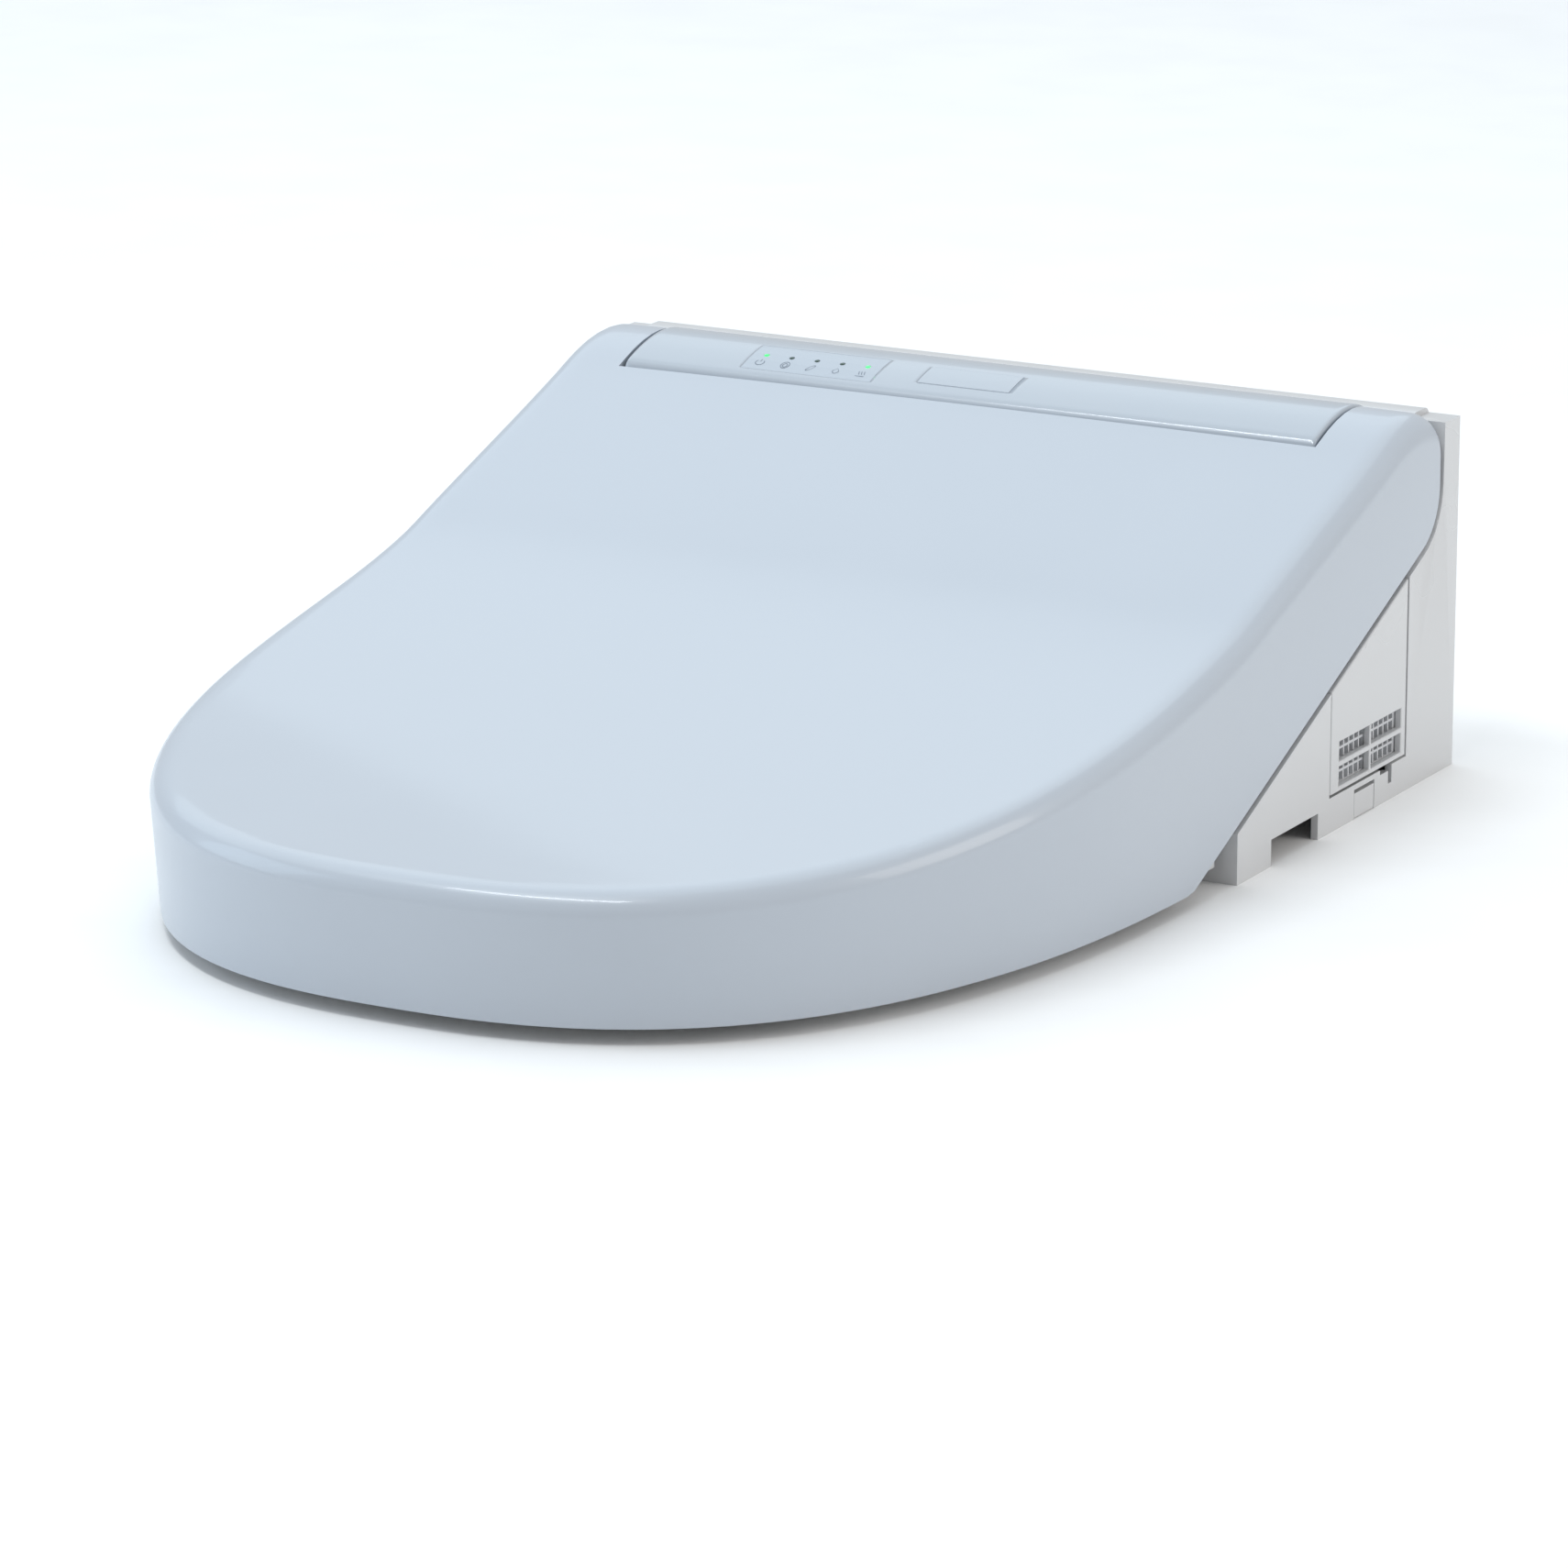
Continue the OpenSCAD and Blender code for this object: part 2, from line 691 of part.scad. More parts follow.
module diverter_body() {
    color("whitesmoke") difference() {
        box(diverter_low, diverter_high);
        shaft_y(diverter_low.y - 1, diverter_high.y - 3, 18, diverter_c.x, diverter_c.y);
    }
}

module diverter_rotor() {
    color("steelblue") difference() {
        union() {
            shaft_y(diverter_low.y + 1, diverter_high.y - 4, 17.8, diverter_c.x, diverter_c.y);
            shaft_y(diverter_low.y - 8, diverter_low.y + 2, 6, diverter_c.x, diverter_c.y);
        }
        shaft_y(diverter_low.y + 8, diverter_high.y, 3, diverter_c.x + 5, diverter_c.y);
    }
}

module water_pipes() {
    valve_x = -cheek_x + wall + 13.8;
    over_z = 95;
    color("lightsteelblue") {
        shaft_y(inlet_y + 12.2, tank_y[0] - 0.2, pipe_d, valve_x - 4, inlet_z + 6);
        shaft_y(diverter_high.y + 0.2, tank_y[0] - 0.2, pipe_d, tank_x[1] - 6, 78);
        translate([diverter_c.x, -16, diverter_high.z + 0.2]) cylinder(d = pipe_d, h = over_z - diverter_high.z);
        shaft_x(diverter_c.x, 60, pipe_d, -16, over_z);
        shaft_y(pump_c.x, -16, pipe_d, 60, over_z);
        translate([60, pump_c.x, pump_c.y + 12.2]) cylinder(d = pipe_d, h = over_z - pump_c.y - 12);
    }
}

module control_board() {
    y = 44;
    color("seagreen") {
        box([26, y, 20], [150, y + 1.6, 120]);
        box([34, y - 10, 90], [74, y, 114]);
        box([84, y - 14, 84], [110, y, 110]);
        for (i = [0:2]) shaft_y(y - 16, y, 10, 122 + 10 * (i % 2), 66 + 14 * i);
    }
}

module power_supply() {
    color("darkgoldenrod") {
        box([60, 6, channel_z + floor_t + 0.5], [140, 38, channel_z + floor_t + 3]);
        box([66, 10, channel_z + floor_t + 3], [100, 34, 46]);
        for (i = [0:1]) translate([112 + 16 * i, 22, channel_z + floor_t + 3]) cylinder(d = 12, h = 26);
    }
}

// ---- wand ----------------------------------------------------------------------------------

// One flank of a rack tooth leans by 20 degrees
function rack_tooth(y) = let (h = gear_m, w = gear_m * PI / 4 - 0.08, s = tan(20) * gear_m)
    [[y - w - 1.2 * s, -1.2 * h], [y - w + s, h], [y + w - s, h], [y + w + 1.2 * s, -1.2 * h]];

module wand_tube() {
    z0 = wand_d / 2 - 1;
    rack_y0 = pinion_pos - 8;
    pitch = gear_m * PI;
    teeth = floor((wand_l - 4 - rack_y0) / pitch);
    color("silver") wand_frame() {
        difference() {
            shaft_y(tip_l, wand_l, wand_d, 0, 0);
            shaft_y(tip_l - 1, wand_l - 6, wand_d - 4, 0, 0);
        }
        along_x(-rack_w / 2, rack_w / 2) {
            translate([rack_y0, z0]) square([wand_l - rack_y0 - 1, rack_z - 1.19 * gear_m - z0]);
            for (i = [1:teeth - 1]) translate([0, rack_z])
                polygon(rack_tooth(pinion_pos + pitch * (i - 2.5)));
        }
    }
}

module wand_tip() {
    d = wand_d + 1;
    color("whitesmoke") wand_frame() difference() {
        union() {
            shaft_y(4, tip_l - 0.1, d, 0, 0);
            translate([0, 4, 0]) rotate([90, 0, 0]) cylinder(d1 = d, d2 = d - 5, h = 4);
            shaft_y(tip_l - 0.2, tip_l + 6, wand_d - 4.2, 0, 0);
        }
        for (x = [-1.6, 1.6], y = [6, 9]) translate([x, y, 0]) cylinder(d = 1.1, h = d);
    }
}

module wand_guide() {
    bore = wand_d + 2 * wand_fit;
    color("whitesmoke") wand_frame() difference() {
        box([-guide_w / 2, 0, -wand_d / 2 - 3], [guide_w / 2, guide_l, 2.5]);
        shaft_y(-1, guide_l + 1, bore, 0, 0);
        shaft_y(-1, tip_l + 1, bore + 1.6, 0, 0);
        box([-bore / 2, -1, 0], [bore / 2, guide_l + 1, 20]);
    }
}

module wand_motor() {
    color("slategray") wand_frame() {
        shaft_x(12, 30, 24, pinion_pos, pinion_z);
        box([12, pinion_pos - 17, pinion_z - 3], [13.5, pinion_pos + 17, pinion_z + 3]);
    }
}

// Involute of a circle of radius rb, at roll angle a in degrees
function involute(rb, a) = rb * [cos(a) + a * PI / 180 * sin(a), sin(a) - a * PI / 180 * cos(a)];
function turned(p, a) = [p.x * cos(a) - p.y * sin(a), p.x * sin(a) + p.y * cos(a)];

module pinion_tooth() {
    rb = pinion_r * cos(20);
    tip = pinion_r + gear_m;
    roll = function(r) r <= rb ? 0 : 180 / PI * sqrt(pow(r / rb, 2) - 1);
    half = 90 / gear_n - 0.5;
    mid = roll(pinion_r);
    lean = atan2(involute(rb, mid).y, involute(rb, mid).x);
    flank = [for (i = [0:6]) turned(involute(rb, roll(tip) * i / 6), -half - lean)];
    back = [for (i = [6:-1:0]) [flank[i].x, -flank[i].y]];
    polygon(concat([[rb - 1, flank[0].y]], flank, back, [[rb - 1, -flank[0].y]]));
}

module drive_pinion() {
    color("ivory") wand_frame() translate([0, pinion_pos, pinion_z]) {
        rotate([90, 0, 90]) translate([0, 0, -3]) linear_extrude(6) {
            circle(pinion_r - 1.25 * gear_m);
            for (i = [0:gear_n - 1]) rotate(-90 + i * 360 / gear_n) pinion_tooth();
        }
        shaft_x(-6, 11.5, 4, 0, 0);
    }
}

// ---- dryer ---------------------------------------------------------------------------------

module dryer_housing() {
    t = 2;
    color("whitesmoke") difference() {
        union() {
            shaft_x(dryer_x[0], dryer_x[1], dryer_r * 2, dryer_c.x, dryer_c.y);
            box([dryer_x[0], dryer_c.x - 24, 37], [dryer_x[1], dryer_c.x - 4, dryer_c.y]);
        }
        shaft_x(dryer_x[0] + t, dryer_x[1] - t, dryer_r * 2 - 2 * t, dryer_c.x, dryer_c.y);
        box([dryer_x[0] + t, dryer_c.x - 24 + t, 30], [dryer_x[1] - t, dryer_c.x - 4 - t, dryer_c.y]);
        shaft_x(dryer_x[0] - 1, dryer_x[0] + t + 1, 22, dryer_c.x, dryer_c.y);
        shaft_x(dryer_x[1] - t - 1, dryer_x[1] + 1, 6, dryer_c.x, dryer_c.y);
    }
}

module dryer_impeller() {
    x = dryer_x[0] + 5;
    color("ivory") translate([0, dryer_c.x, dryer_c.y]) {
        shaft_x(x + 18, x + 20, 38, 0, 0);
        shaft_x(x + 6, x + 26, 10, 0, 0);
        for (i = [0:17]) rotate([i * 20, 0, 0]) box([x, 14, -0.7], [x + 19, 18.6, 0.7]);
    }
}

module dryer_motor() {
    color("slategray") difference() {
        shaft_x(dryer_x[1] + 0.3, dryer_x[1] + 24, 28, dryer_c.x, dryer_c.y);
        shaft_x(dryer_x[1] - 1, dryer_x[1] + 8, 10.4, dryer_c.x, dryer_c.y);
    }
}

duct_y = [-76, -56];
duct_z = [6, 36];

module dryer_duct() {
    t = 2;
    color("whitesmoke") difference() {
        union() {
            box([dryer_x[0] - 2, duct_y[0], duct_z[0]], [outlet_x[1] + t, duct_y[1], duct_z[1]]);
            box([outlet_x[0] - t, mid_front_y + wall + 0.8, outlet_z[0] - 1],
                [outlet_x[1] + t, duct_y[0] + 1, outlet_z[1] + t]);
        }
        box([dryer_x[0], duct_y[0] + t, duct_z[0] + t], [outlet_x[1], duct_y[1] - t, duct_z[1] - t]);
        box([outlet_x[0], mid_front_y, outlet_z[0] + 0.5], [outlet_x[1], duct_y[0] + t + 1, outlet_z[1]]);
        box([dryer_x[0] + 2, duct_y[0] + t, duct_z[1] - t - 1], [dryer_x[1] - 2, duct_y[1] - t, duct_z[1] + 1]);
    }
}

module dryer_heater() {
    color("peru") for (y = [-71, -61], z = [14, 22, 29]) shaft_x(outlet_x[0] + 4, outlet_x[1] - 4, 3, y, z);
}

flap_hinge = [mid_front_y - 2.2, outlet_z[1] + 1.5];

module dryer_flap() {
    color("whitesmoke") {
        box([outlet_x[0] - 1, flap_hinge.x - 1, outlet_z[0] - 1],
            [outlet_x[1] + 1, flap_hinge.x + 1, flap_hinge.y]);
        shaft_x(outlet_x[0] - 1, outlet_x[1] + 1, 3, flap_hinge.x, flap_hinge.y);
    }
}

// ---- deodorizer ----------------------------------------------------------------------------

module deodorizer_housing() {
    t = 2;
    color("whitesmoke") difference() {
        shaft_x(deo_x[0], deo_x[1], deo_r * 2, deo_c.x, deo_c.y);
        shaft_x(deo_x[0] + t, deo_x[1] - t, deo_r * 2 - 2 * t, deo_c.x, deo_c.y);
        shaft_x(deo_x[1] - t - 1, deo_x[1] + 1, 24, deo_c.x, deo_c.y);
        shaft_x(deo_x[0] - 1, deo_x[0] + t + 1, 9, deo_c.x, deo_c.y);
        box([deo_x[0] + 6, deo_c.x - 8, 0], [deo_x[1] - 6, deo_c.x + 8, deo_c.y]);
    }
}

module deodorizer_impeller() {
    x = deo_x[1] - 6;
    color("ivory") translate([0, deo_c.x, deo_c.y]) {
        shaft_x(x - 18, x - 16, 32, 0, 0);
        shaft_x(x - 28, x - 6, 8, 0, 0);
        for (i = [0:14]) rotate([i * 24, 0, 0]) box([x - 17, 11, -0.6], [x, 15.5, 0.6]);
    }
}

module deodorizer_motor() {
    color("slategray") difference() {
        shaft_x(deo_x[0] - 22, deo_x[0] - 0.3, 22, deo_c.x, deo_c.y);
        shaft_x(deo_x[0] - 8, deo_x[0] + 1, 8.4, deo_c.x, deo_c.y);
    }
}

vent_y = [[-55.5, -25.9], [-24.1, 5]];
vent_z = [[17.5, 25.6], [27.9, 36]];

module filter_cover() {
    color("white") difference() {
        along_x(half_w - cover_t, half_w) intersection() {
            cheek_side(0);
            translate([cover_y[0] + cover_gap, cover_z0 + cover_gap])
                square([cover_y[1] - cover_y[0] - 2 * cover_gap, unit_h]);
        }
        for (y = vent_y, z = vent_z) box([half_w - cover_t - 1, y[0], z[0]], [half_w + 1, y[1], z[1]]);
    }
}

module deodorizer_filter() {
    x1 = half_w - cover_t - 0.2;
    low = [x1 - filter_t, vent_y[0][0] - 1, vent_z[0][0] - 1.5];
    high = [x1, vent_y[1][1] + 1, vent_z[1][1] + 1.5];
    color("darkslategray") difference() {
        box(low, high);
        for (i = [0:11], j = [0:3]) translate([0, low.y + 5 + i * 4.8, low.z + 3.6 + j * 4.8])
            box([x1 - 10, -1.9, -1.9], [x1 + 1, 1.9, 1.9]);
    }
}

module detach_button() {
    g = 0.4;
    stem_x = channel_half_w + 9;
    color("white") {
        box([half_w - 24, button_y[0] + g, 0.4], [half_w, button_y[1] - g, button_h]);
        shaft_x(stem_x, half_w - 23, 4.5, (button_y[0] + button_y[1]) / 2, stem_z);
    }
}

module button_spring() {
    color("silver") for (i = [0:4]) translate([half_w - 40 + i * 2.6,
        (button_y[0] + button_y[1]) / 2, stem_z])
        rotate([0, 90, 0]) rotate_extrude() translate([3.2, 0]) circle(0.5);
}

// ---- lid -----------------------------------------------------------------------------------

buffer_h = 3;
lid_posts = [[140, -235], [118, -375]];
post_d = 11;

module lid() {
    knuckle_x1 = lid_half_w - 1;
    color([0.8, 0.86, 0.92]) difference() {
        union() {
            difference() {
                intersection() {
                    along_z(0, unit_h + 9) lid_plan(0);
                    along_x(-half_w, half_w) lid_side();
                }
                intersection() {
                    along_z(-1, unit_h + 9) lid_plan(wall);
                    along_x(-half_w, half_w) lid_side_inner();
                }
                box([-bay_half_w, panel_front_y - panel_seam, 0], [bay_half_w, rear_d, unit_h + 9]);
            }
            both_sides() {
                shaft_x(lid_knuckle_x, knuckle_x1, knuckle_d, hinge_y, hinge_z);
                box([lid_knuckle_x, hinge_y - 4, hinge_z], [knuckle_x1, hinge_y + 4, ear_top + 2]);
                box([bay_half_w, ear_rear_y - wall, hinge_z - 6], [knuckle_x1, ear_rear_y, ear_top - 1]);
                for (p = lid_posts) translate([p.x, p.y, seat_top_z + buffer_h])
                    cylinder(d = post_d, h = lookup(-p.y, [for (q = lid_curve) [-q.x, q.y]]) - 1.5
                        - seat_top_z - buffer_h);
            }
        }
        both_sides() shaft_x(lid_knuckle_x - 1, pin_x1 + 1, pin_d + 2 * pin_fit, hinge_y, hinge_z);
    }
}

module lid_buffers() {
    color("dimgray") both_sides() for (p = lid_posts) translate([p.x, p.y, seat_top_z + 0.3])
        cylinder(d = post_d + 1, h = buffer_h - 0.3);
}

// ---- seat ----------------------------------------------------------------------------------

module seat_arm() {
    dir = [arm_end_y - hinge_y, arm_end_z - hinge_z];
    n = [-dir.y, dir.x] / norm(dir) * -1;
    along_x(arm_x, arm_x + arm_w) polygon([[hinge_y, hinge_z] + n * 5, [arm_end_y, arm_end_z] + n * arm_h / 2,
        [arm_end_y, arm_end_z] - n * arm_h / 2, [hinge_y, hinge_z] - n * 5]);
    shaft_x(arm_x, arm_x + arm_w, knuckle_d, hinge_y, hinge_z);
}

module seat_top() {
    color("white") difference() {
        union() {
            difference() {
                along_z(seat_under_z, seat_top_z) seat_ring(0);
                difference() {
                    along_z(0, seat_top_z - seat_wall) seat_ring(seat_wall);
                    bridge_clear(seat_wall);
                }
                bridge_clear(0);
            }
            both_sides() seat_arm();
        }
        both_sides() shaft_x(arm_x - 1, arm_x + arm_w + 1, pin_d + 2 * pin_fit, hinge_y, hinge_z);
    }
}

module seat_bottom() {
    color("whitesmoke") difference() {
        along_z(seat_under_z, seat_under_z + seat_wall) seat_ring(seat_wall + 0.3);
        bridge_clear(seat_wall + 0.3);
    }
}

module seat_heater() {
    z = seat_top_z - seat_wall - 0.1;
    color("peru") difference() {
        along_z(z - 0.5, z) seat_ring(12);
        box([-unit_w, arm_end_y - 12, 0], [unit_w, rear_d, unit_h]);
    }
}

seat_feet = [[150, -190], [100, -395]];

module seat_buffers() {
    color("dimgray") both_sides() for (p = seat_feet)
        along_z(0, seat_under_z) translate([p.x - 8, p.y - 14]) round_rect([0, 0], [16, 28], 6);
}

mounting_plate();
bolt_adjusters();
plate_pads();
housing();
lower_case();
display_panel();
indicator_window();
indicator_lamps();
blank_badge();
rear_cover();
case_screws();
body_feet();
hinge_pins();
lid_damper();
seat_damper();
control_board();
power_supply();
heater_tank();
tank_element();
water_inlet();
inlet_strainer();
solenoid_valve();
water_pump();
water_pipes();
diverter_body();
diverter_rotor();
wand_guide();
wand_motor();
drive_pinion();
wand_tube();
wand_tip();
dryer_housing();
dryer_motor();
dryer_impeller();
dryer_duct();
dryer_heater();
dryer_flap();
deodorizer_housing();
deodorizer_motor();
deodorizer_impeller();
filter_cover();
deodorizer_filter();
detach_button();
button_spring();
power_gland();
lid();
lid_buffers();
seat_top();
seat_bottom();
seat_heater();
seat_buffers();
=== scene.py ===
# %% [markdown]
# # An electric bidet seat, closed
# The object is a plastic seat with its lid down and a low box of works behind the bowl. The model
# from the drawing office, with its bodies and joints, is loaded first and stays fixed. Everything
# made below is laid over it in the same metres, so a piece goes where the drawing says.

# %% Load the fixed frame
import json
from math import hypot, pi, radians, sqrt
import bmesh
import bpy
from mathutils import Matrix, Vector


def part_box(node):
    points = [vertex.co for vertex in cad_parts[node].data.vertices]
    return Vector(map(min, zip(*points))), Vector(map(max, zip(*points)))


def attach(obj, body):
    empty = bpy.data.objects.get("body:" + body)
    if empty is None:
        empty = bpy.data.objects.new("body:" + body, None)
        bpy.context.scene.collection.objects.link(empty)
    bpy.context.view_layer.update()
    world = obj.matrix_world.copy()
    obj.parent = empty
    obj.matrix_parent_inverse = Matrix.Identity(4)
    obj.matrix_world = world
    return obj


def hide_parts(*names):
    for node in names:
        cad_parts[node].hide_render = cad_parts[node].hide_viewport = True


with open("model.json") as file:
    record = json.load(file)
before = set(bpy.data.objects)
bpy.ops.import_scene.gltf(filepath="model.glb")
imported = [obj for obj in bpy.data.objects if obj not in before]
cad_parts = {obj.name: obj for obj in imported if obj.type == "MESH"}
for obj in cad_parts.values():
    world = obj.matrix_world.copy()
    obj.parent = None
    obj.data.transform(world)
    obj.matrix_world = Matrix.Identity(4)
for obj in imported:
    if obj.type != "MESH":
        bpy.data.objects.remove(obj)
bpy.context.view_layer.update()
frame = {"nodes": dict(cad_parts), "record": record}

MM = 0.001

# %% [markdown]
# ## A grain that every moulded part shares
# Injection-moulded plastic is never perfectly even: the steel mould leaves a faint skin, and the
# gloss drifts a little from place to place. A painted picture of that would slide on the model,
# so one node group makes it from the object's own coordinates and each plastic sets its amounts.

# %% Node group: moulded skin
def add(tree, kind, **inputs):
    """A shader node with some of its inputs set by name."""
    node = tree.nodes.new(kind)
    for key, value in inputs.items():
        node.inputs[key.replace("_", " ")].default_value = value
    return node

def moulded_skin_group():
    """Grain for the bump, and a slow drift for the tone and the roughness."""
    group = bpy.data.node_groups.new("moulded_skin", "ShaderNodeTree")
    for name, value in (("Grain Scale", 900.0), ("Drift Scale", 14.0), ("Rough Low", 0.2),
            ("Rough High", 0.3)):
        group.interface.new_socket(name, in_out="INPUT", socket_type="NodeSocketFloat").default_value = value
    for name in ("Roughness", "Height", "Tone"):
        group.interface.new_socket(name, in_out="OUTPUT", socket_type="NodeSocketFloat")
    start, end = group.nodes.new("NodeGroupInput"), group.nodes.new("NodeGroupOutput")
    place = group.nodes.new("ShaderNodeTexCoord")
    grain = add(group, "ShaderNodeTexNoise", Detail=3.0, Roughness=0.6)
    drift = add(group, "ShaderNodeTexNoise", Detail=2.0, Roughness=0.5)
    spread = group.nodes.new("ShaderNodeMapRange")
    links = group.links
    for noise, scale in ((grain, "Grain Scale"), (drift, "Drift Scale")):
        links.new(place.outputs["Object"], noise.inputs["Vector"])
        links.new(start.outputs[scale], noise.inputs["Scale"])
    links.new(drift.outputs["Fac"], spread.inputs["Value"])
    spread.inputs["From Min"].default_value = 0.3
    spread.inputs["From Max"].default_value = 0.7
    links.new(start.outputs["Rough Low"], spread.inputs["To Min"])
    links.new(start.outputs["Rough High"], spread.inputs["To Max"])
    links.new(spread.outputs["Result"], end.inputs["Roughness"])
    links.new(grain.outputs["Fac"], end.inputs["Height"])
    links.new(drift.outputs["Fac"], end.inputs["Tone"])
    return group

moulded_skin = moulded_skin_group()
print("group", moulded_skin.name, [s.name for s in moulded_skin.interface.items_tree])

# %% [markdown]
# ## Finishes
# Each finish is a Principled shader fed by that skin: two close tones instead of one flat colour,
# a roughness that drifts, and a bump a few hundredths of a millimetre deep. The lid and the case
# are glossy moulded plastic, so they also have a clear coat that carries the sharp reflections.

# %% Finish maker
def finish(name, tone_a, tone_b, rough=(0.2, 0.3), grain=900.0, depth=0.02, metal=0.0, coat=0.0, glow=0.0):
    """A material with two tones, drifting roughness and a fine grain; depth in millimetres."""
    material = bpy.data.materials.new(name)
    material.use_nodes = True
    tree = material.node_tree
    shader = tree.nodes["Principled BSDF"]
    skin = tree.nodes.new("ShaderNodeGroup")
    skin.node_tree = moulded_skin
    skin.inputs["Grain Scale"].default_value = grain
    skin.inputs["Rough Low"].default_value, skin.inputs["Rough High"].default_value = rough
    tones = tree.nodes.new("ShaderNodeValToRGB")
    tones.color_ramp.elements[0].position, tones.color_ramp.elements[1].position = 0.35, 0.65
    tones.color_ramp.elements[0].color = (*tone_a, 1.0)
    tones.color_ramp.elements[1].color = (*tone_b, 1.0)
    bump = add(tree, "ShaderNodeBump", Strength=0.35, Distance=depth * MM)
    tree.links.new(skin.outputs["Tone"], tones.inputs["Fac"])
    tree.links.new(tones.outputs["Color"], shader.inputs["Base Color"])
    tree.links.new(skin.outputs["Roughness"], shader.inputs["Roughness"])
    tree.links.new(skin.outputs["Height"], bump.inputs["Height"])
    tree.links.new(bump.outputs["Normal"], shader.inputs["Normal"])
    shader.inputs["Metallic"].default_value = metal
    shader.inputs["Coat Weight"].default_value = coat
    shader.inputs["Coat Roughness"].default_value = 0.06
    if glow:
        tree.links.new(tones.outputs["Color"], shader.inputs["Emission Color"])
        shader.inputs["Emission Strength"].default_value = glow
    return material

# The lid is the same white plastic as the case and seat. The blue cast in its two tones is painted cool light
# from above, not the plastic's own colour.
lid_gloss_painted_cool_light = finish("lid_gloss_painted_cool_light", (0.455, 0.500, 0.560), (0.461, 0.506, 0.566), (0.30, 0.34), coat=0.35)
# The strip and badge are white plastic too. The blue cast in their tones is painted cool light from above.
strip_gloss_painted_cool_light = finish("strip_gloss_painted_cool_light", (0.415, 0.460, 0.515), (0.421, 0.466, 0.521), (0.22, 0.26), coat=0.4)
seat_gloss = finish("seat_gloss", (0.640, 0.655, 0.665), (0.648, 0.663, 0.673), (0.24, 0.28), coat=0.3)
case_gloss = finish("case_gloss", (0.580, 0.585, 0.595), (0.588, 0.593, 0.603), (0.26, 0.31), coat=0.3)
window_film = finish("window_film", (0.42, 0.47, 0.53), (0.43, 0.48, 0.54), (0.28, 0.36), coat=0.2)
lamp_lit = finish("lamp_lit", (0.03, 0.70, 0.12), (0.08, 0.85, 0.20), (0.25, 0.35), glow=1.0)
lamp_off = finish("lamp_off", (0.05, 0.09, 0.08), (0.07, 0.12, 0.10), (0.2, 0.3))
mark_grey = finish("mark_grey", (0.10, 0.13, 0.18), (0.13, 0.16, 0.22), (0.4, 0.5))

# %% [markdown]
# The parts that nobody touches are plainer. Their steel tools are rougher, so the grain is coarser
# and deeper and there is no coat. Steel and copper are full metals with a very fine grain.

# %% Finishes of the works
inner_white = finish("inner_white", (0.62, 0.63, 0.63), (0.68, 0.69, 0.69), (0.42, 0.55), 600.0, 0.05)
dark_moulding = finish("dark_moulding", (0.018, 0.019, 0.021), (0.03, 0.031, 0.034), (0.38, 0.52),
    500.0, 0.06)
filter_grey = finish("filter_grey", (0.56, 0.57, 0.59), (0.62, 0.63, 0.65), (0.5, 0.65), 300.0, 0.1)
black_rubber = finish("black_rubber", (0.02, 0.02, 0.02), (0.035, 0.035, 0.036), (0.62, 0.78), 350.0, 0.12)
bright_steel = finish("bright_steel", (0.52, 0.53, 0.54), (0.62, 0.63, 0.64), (0.18, 0.34), 1400.0, 0.01, 1.0)
heater_copper = finish("heater_copper", (0.72, 0.33, 0.18), (0.80, 0.42, 0.24), (0.25, 0.42), metal=1.0)
circuit_green = finish("circuit_green", (0.01, 0.10, 0.04), (0.02, 0.17, 0.07), (0.30, 0.50), 260.0, 0.10)
print(len(bpy.data.materials), "finishes")

# %% [markdown]
# ## Dressing the works inside
# Pumps, motors and boards are seen only when the lid and case are off. Their shapes are already
# right in the drawing, so they keep their solids and get a finish chosen from what they are made of.

# %% Finishes for the drawing's own solids
FINISH_OF_SLOT = {"lid_plastic": lid_gloss_painted_cool_light, "seat_plastic": seat_gloss, "case_plastic": case_gloss,
    "panel_plastic": strip_gloss_painted_cool_light, "window_plastic": window_film, "lamp_green": lamp_lit,
    "inner_plastic": inner_white, "dark_plastic": dark_moulding, "rubber": black_rubber,
    "steel": bright_steel, "copper": heater_copper, "board": circuit_green}
SLOT_OF_NODE = {part["node"]: part["material_slot"] for part in frame["record"]["subparts"]}
for node, obj in frame["nodes"].items():
    obj.data.materials.clear()
    obj.data.materials.append(FINISH_OF_SLOT[SLOT_OF_NODE[node]])
frame["nodes"]["deodorizer_filter"].data.materials[0] = filter_grey
print(len(frame["nodes"]), "solids finished")

# %% [markdown]
# ## Ending a piece
# Every new piece ends the same way: its mesh is stored, smooth faces are split only at sharp
# edges, it rides on a body so it moves with the joint, and it may stand for a plain solid.

# %% Helpers that end and start pieces
WELD = 1e-6

def end_piece(bm, name, body, slot, material, *stands_for, sharp=35):
    """The mesh becomes an object that rides on body, shows material and may hide some solids; slot is not
    used.
    """
    mesh = bpy.data.meshes.new(name)
    bm.to_mesh(mesh)
    bm.free()
    mesh.materials.append(material)
    mesh.shade_smooth()
    mesh.set_sharp_from_angle(angle=radians(sharp))
    piece = bpy.data.objects.new(name, mesh)
    bpy.context.scene.collection.objects.link(piece)
    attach(piece, body)
    if stands_for:
        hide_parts(*stands_for)
    print(name, len(mesh.polygons), "faces")
    return piece

def joined_copy(node):
    """A solid's loose triangles as one skin, with its flat faces made whole again."""
    bm = bmesh.new()
    bm.from_mesh(frame["nodes"][node].data)
    bmesh.ops.remove_doubles(bm, verts=bm.verts, dist=0.00002)
    bmesh.ops.dissolve_limit(bm, angle_limit=radians(0.6), verts=bm.verts, edges=bm.edges)
    return bm

def grid_spot(v, across, along):
    """The stations that a vertex of a grid of size 1 stands for."""
    return (across[round((v.co.x + 1) / 2 * (len(across) - 1))],
        along[round((v.co.y + 1) / 2 * (len(along) - 1))])

